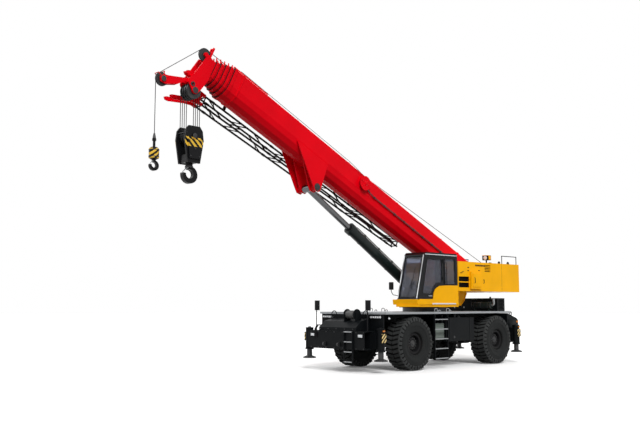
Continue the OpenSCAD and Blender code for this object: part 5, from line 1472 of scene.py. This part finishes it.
def makeLuffTrim(settings):
    radius, length, first = settings["radius"], settings["length"], settings["pipeX"]
    pipes, bands, wiper, along = [], bmesh.new(), bmesh.new(), Vector((1, 0, 0))
    for turn, last in settings["pipes"]:
        out = polarSpot(radius + settings["pipeOut"], turn)
        inner = polarSpot(radius - settings["pipeIn"], turn)
        line = ((first, *inner), (first, *out), (last, *out), (last, *inner))
        pipes.append([luffPlace @ Vector(p) for p in line])
    addTubes("luffPipes", pipes, 0.018, "darkSteel", "barrel", 0.05, 12)
    for x in settings["bands"]:
        addLathe(bands, bandProfile(radius - 0.004, radius + 0.008, -0.02, 0.02), (x, 0, 0), along, 48)
        for turn, last in settings["pipes"]:
            y, z = polarSpot(radius + 0.03, turn)
            addBox(bands, *midBox(x - 0.025, x + 0.025, y, 0.03, z - 0.022, z + 0.022, 0.006))
    addBox(bands, *midBox(first - 0.08, first + 0.10, 0.0, 0.07, radius - 0.02, radius + 0.07, 0.012))
    luffMesh("luffBands", bands, "cylinderDark")
    spots = [luffPlace @ Vector((length + 0.001, y, z)) for y, z in circle(*settings["bolts"])]
    addBolts("glandBolts", spots, luffPlace.to_3x3() @ along, 0.013, 0.012, "darkSteel", "barrel")
    addLathe(wiper, settings["wiper"], (length, 0, 0), along, 48)
    luffMesh("rodWiper", wiper, "softBlack")


makeLuffTrim(luffTrim)
print("luff cylinder fitted out")

# Hooks: latches, bolts on the weight plates, rings and rope guards, rope socket
hookTrim = {"mainX": 11.0467, "mainBowl": 5.8982, "mainTop": 7.6182, "mainHook": (0.26, 0.10),
    "plateY": 0.3115, "plateBolts": ((-0.20, 0.47), (0.20, 0.47), (-0.16, 0.93), (0.16, 0.93), (0.0, 0.70)),
    "pinY": 0.29, "pinDown": 0.30, "nutDown": 1.19, "guardX": 0.27, "guardDown": 0.21, "guardY": 0.262,
    "auxX": 12.2695, "auxBowl": 6.149, "auxHook": (0.15, 0.06), "socketUp": 0.95, "bandsUp": (0.40, 0.60),
    "socket": ((0.012, 0.0), (0.05, 0.0), (0.045, 0.05), (0.022, 0.16), (0.012, 0.16))}


# Safety latch across a hook's mouth, its places in shares of the hook's radius
def makeLatch(name, x, bowl, radius, width, body):
    shape = bmesh.new()
    z = bowl + radius
    start = Vector((x + 0.26 * radius, 0, z + 0.86 * radius))
    end = Vector((x + 0.84 * radius, 0, z + 0.30 * radius))
    across = Vector((0, width / 2, 0))
    lift = (end - start).normalized().cross(Vector((0, 1, 0))) * 0.012
    addPlate(shape, [start - across, start + across, end + across * 0.6, end - across * 0.6], lift)
    addRod(shape, start - across * 1.35, start + across * 1.35, 0.10 * radius, 16)
    finishPiece(name, shape, "bareSteel", body)


def makeMainHookTrim(settings):
    x, top, up = settings["mainX"], settings["mainTop"], (0, 0, 1)
    makeLatch("mainLatch", x, settings["mainBowl"], *settings["mainHook"], "main_block")
    for s, letter in sideLetters:
        spots = [(x + dx, s * settings["plateY"], top - dz) for dx, dz in settings["plateBolts"]]
        addBolts("mainPlateBolts" + letter, spots, (0, s, 0), 0.02, 0.018, "darkSteel", "main_block")
    rings = bmesh.new()
    for s in bothSides:
        spot = (x, s * settings["pinY"], top - settings["pinDown"])
        addLathe(rings, capProfile(0.075, 0.01, 0.06, 0.016), spot, (0, s, 0), 32)
    addLathe(rings, bandProfile(0.075, 0.125, -0.05, 0.0), (x, 0, top - settings["nutDown"]), up, 36)
    y, z = settings["guardY"], top - settings["guardDown"]
    for s in bothSides:
        addRod(rings, (x + s * settings["guardX"], -y, z), (x + s * settings["guardX"], y, z), 0.014, 12)
    finishPiece("mainBlockRings", rings, "darkSteel", "main_block")


def makeAuxHookTrim(settings):
    x, bowl, up = settings["auxX"], settings["auxBowl"], (0, 0, 1)
    makeLatch("auxLatch", x, bowl, *settings["auxHook"], "aux_block")
    socket = bmesh.new()
    addLathe(socket, settings["socket"], (x, 0, bowl + settings["socketUp"]), up, 28)
    for rise in settings["bandsUp"]:
        addLathe(socket, bandProfile(0.148, 0.156, 0.0, 0.018), (x, 0, bowl + rise), up, 48)
    finishPiece("auxSocket", socket, "darkSteel", "aux_block")


makeMainHookTrim(hookTrim)
makeAuxHookTrim(hookTrim)
print("hooks fitted out")

# Outrigger ends: jack caps, striped plates, lamps and float rims
outriggers = {"fl": (4.275, 1), "fr": (4.645, -1), "rl": (-3.915, 1), "rr": (-4.285, -1)}
jackTrim = {
    "y": 1.56, "tube": 0.14, "top": 1.46, "low": 0.74, "float": 0.40,
    "cap": ((latheHole, 0.0), (0.152, 0.0), (0.152, 0.022), (0.125, 0.03), (0.06, 0.03), (0.05, 0.06),
    (latheHole, 0.064)), "collar": ((0.097, -0.028), (0.15, -0.028), (0.156, -0.004), (0.156, 0.02),
    (0.139, 0.02), (0.139, 0.0), (0.097, 0.0)), "plateHalf": 0.11, "plateZ": (1.02, 1.32), "plateOut": 0.012,
    "plate": 0.006, "boltX": (-0.085, 0.085), "boltZ": (1.045, 1.295),
    "bolt": ((latheHole, -0.004), (0.012, -0.004), (0.012, 0.004), (0.007, 0.008), (latheHole, 0.008)),
    "standZ": (1.06, 1.26), "lampY": (0.13, 0.165), "lampZ": (1.385, 1.435),
    "fins": 8, "fin": (0.12, 0.215), "finHalf": 0.006, "finUp": 0.03, "finHigh": (0.05, 0.012),
}


def makeJackTrim(corner, x, s, settings):
    y, thick, body, up = s * settings["y"], s * settings["plate"], "outrigger_" + corner, Vector((0, 0, 1))
    face = y + s * (settings["tube"] + settings["plateOut"])
    caps = bmesh.new()
    addLathe(caps, settings["cap"], (x, y, settings["top"]), up, 36)
    addLathe(caps, settings["collar"], (x, y, settings["low"]), up, 36)
    finishPiece("jackCaps_" + corner, caps, "carrierBlack", body)
    plate = bmesh.new()
    half, (low, high) = settings["plateHalf"], settings["plateZ"]
    addBox(plate, (x - half, face, low), (x + half, face + thick, high), 0.002)
    for dx in settings["boltX"]:
        for z in settings["boltZ"]:
            addLathe(plate, settings["bolt"], (x + dx, face + thick, z), (0, s, 0), 12)
    finishPiece("stripePlate_" + corner, plate, "plateStripe", body)
    lamp = [((x - 0.03, y + s * 0.125, z), (x + 0.03, face, z + 0.03), 0.002) for z in settings["standZ"]]
    (near, far), (low, high) = settings["lampY"], settings["lampZ"]
    lamp.append(((x - 0.045, y + s * near, low), (x + 0.045, y + s * far, high), 0.008))
    boxPiece("jackMarker_" + corner, lamp, "lampAmber", body)
    rims = bmesh.new()
    foot = Vector((x, y, settings["float"]))
    (near, far), (inner, outer) = settings["fin"], settings["finHigh"]
    addLathe(rims, bandProfile(0.212, 0.228, 0.030, 0.042), foot, up, 48)
    for a, b in circle(settings["fins"], first=0.5):
        out, across = Vector((a, b, 0)), Vector((-b, a, 0)) * settings["finHalf"]
        base = foot + up * settings["finUp"] - across
        addPlate(rims, [base + out * near, base + out * far, base + out * far + up * outer,
            base + out * near + up * inner], across * 2)
    finishPiece("floatRim_" + corner, rims, "darkSteel", "jackleg_" + corner)


for corner, (x, s) in outriggers.items():
    makeJackTrim(corner, x, s, jackTrim)
print("outriggers fitted out")

# Fly jib: sleeves where the frames meet the chords; each end has its u, y, width, v and height
jibLine = {"front": (13.03, -0.56, 0.32, -0.55, 0.48), "rear": (2.90, -0.56, 0.26, -0.28, 0.30),
    "frames": (0.035, 0.30, 0.5, 0.70, 0.965), "sleeve": 0.006, "radius": 0.042}


def jibCorner(t, inner, upper):
    u, y, w, v, h = (a + (b - a) * t for a, b in zip(jibLine["front"], jibLine["rear"]))
    return Vector((u, y - (0 if inner else w), v + (h / 2 if upper else -h / 6)))


def makeJibSleeves(settings):
    shape = bmesh.new()
    half = settings["sleeve"]
    for t in settings["frames"]:
        for inner in (True, False):
            for upper in (True, False):
                ends = (jibCorner(t - half, inner, upper), jibCorner(t + half, inner, upper))
                addRod(shape, *ends, settings["radius"], 16)
    boomMesh("jibSleeves", shape, "jibBlack", "base_boom")


makeJibSleeves(jibLine)
print("fly jib fitted out")

# Pale studio floor, world and soft lamps; each lamp has its turn, strength and width
studio = {"floor": (1.0, 1.0, 1.0, 1), "bounce": (0.20, 0.20, 0.20, 1), "glow": 0.07, "world": 0.42,
    "size": 160, "below": -0.004, "rough": 0.9}
lamps = {"keyLamp": ((50, 0, 150), 2.5, 25), "fillLamp": ((60, 0, 20), 0.8, 60),
    "backLamp": ((50, 0, 285), 0.9, 60)}


# One for a ray that comes straight, mirrored or through glass to the camera
def addSeen(tree):
    path = tree.nodes.new("ShaderNodeLightPath").outputs
    straight = addMath(tree, "MAXIMUM", path["Is Camera Ray"], path["Is Glossy Ray"])
    return addMath(tree, "MAXIMUM", straight, path["Is Transmission Ray"])


def makeStage(settings):
    white, size = (1, 1, 1, 1), settings["size"]
    mesh = bpy.data.meshes.new("studioFloor")
    mesh.from_pydata([(-size, -size, 0), (size, -size, 0), (size, size, 0), (-size, size, 0)], [],
        [(0, 1, 2, 3)])
    floor = bpy.data.objects.new("studioFloor", mesh)
    sceneObjects.link(floor)
    floor.location.z = settings["below"]
    made, tree, shader = newMaterial("studioWhite")
    seen = addSeen(tree)
    setInputs(tree, shader, {"Base Color": addMix(tree, seen, settings["bounce"], settings["floor"]),
        "Emission Color": white, "Emission Strength": addMath(tree, "MULTIPLY", seen, settings["glow"]),
        "Roughness": settings["rough"]})
    mesh.materials.append(made)
    world = bpy.data.worlds.new("studioWorld")
    bpy.context.scene.world = world
    world.use_nodes = True
    tree = world.node_tree
    strength = addMath(tree, "MAXIMUM", addSeen(tree), settings["world"])
    setInputs(tree, tree.nodes["Background"], {"Strength": strength, "Color": white})


def addSun(name, turn, strength, width):
    data = bpy.data.lights.new(name, "SUN")
    data.energy = strength
    data.angle = math.radians(width)
    lamp = bpy.data.objects.new(name, data)
    lamp.rotation_euler = [math.radians(a) for a in turn]
    sceneObjects.link(lamp)


makeStage(studio)
for name, lamp in lamps.items():
    addSun(name, *lamp)
print("stage and lamps set")
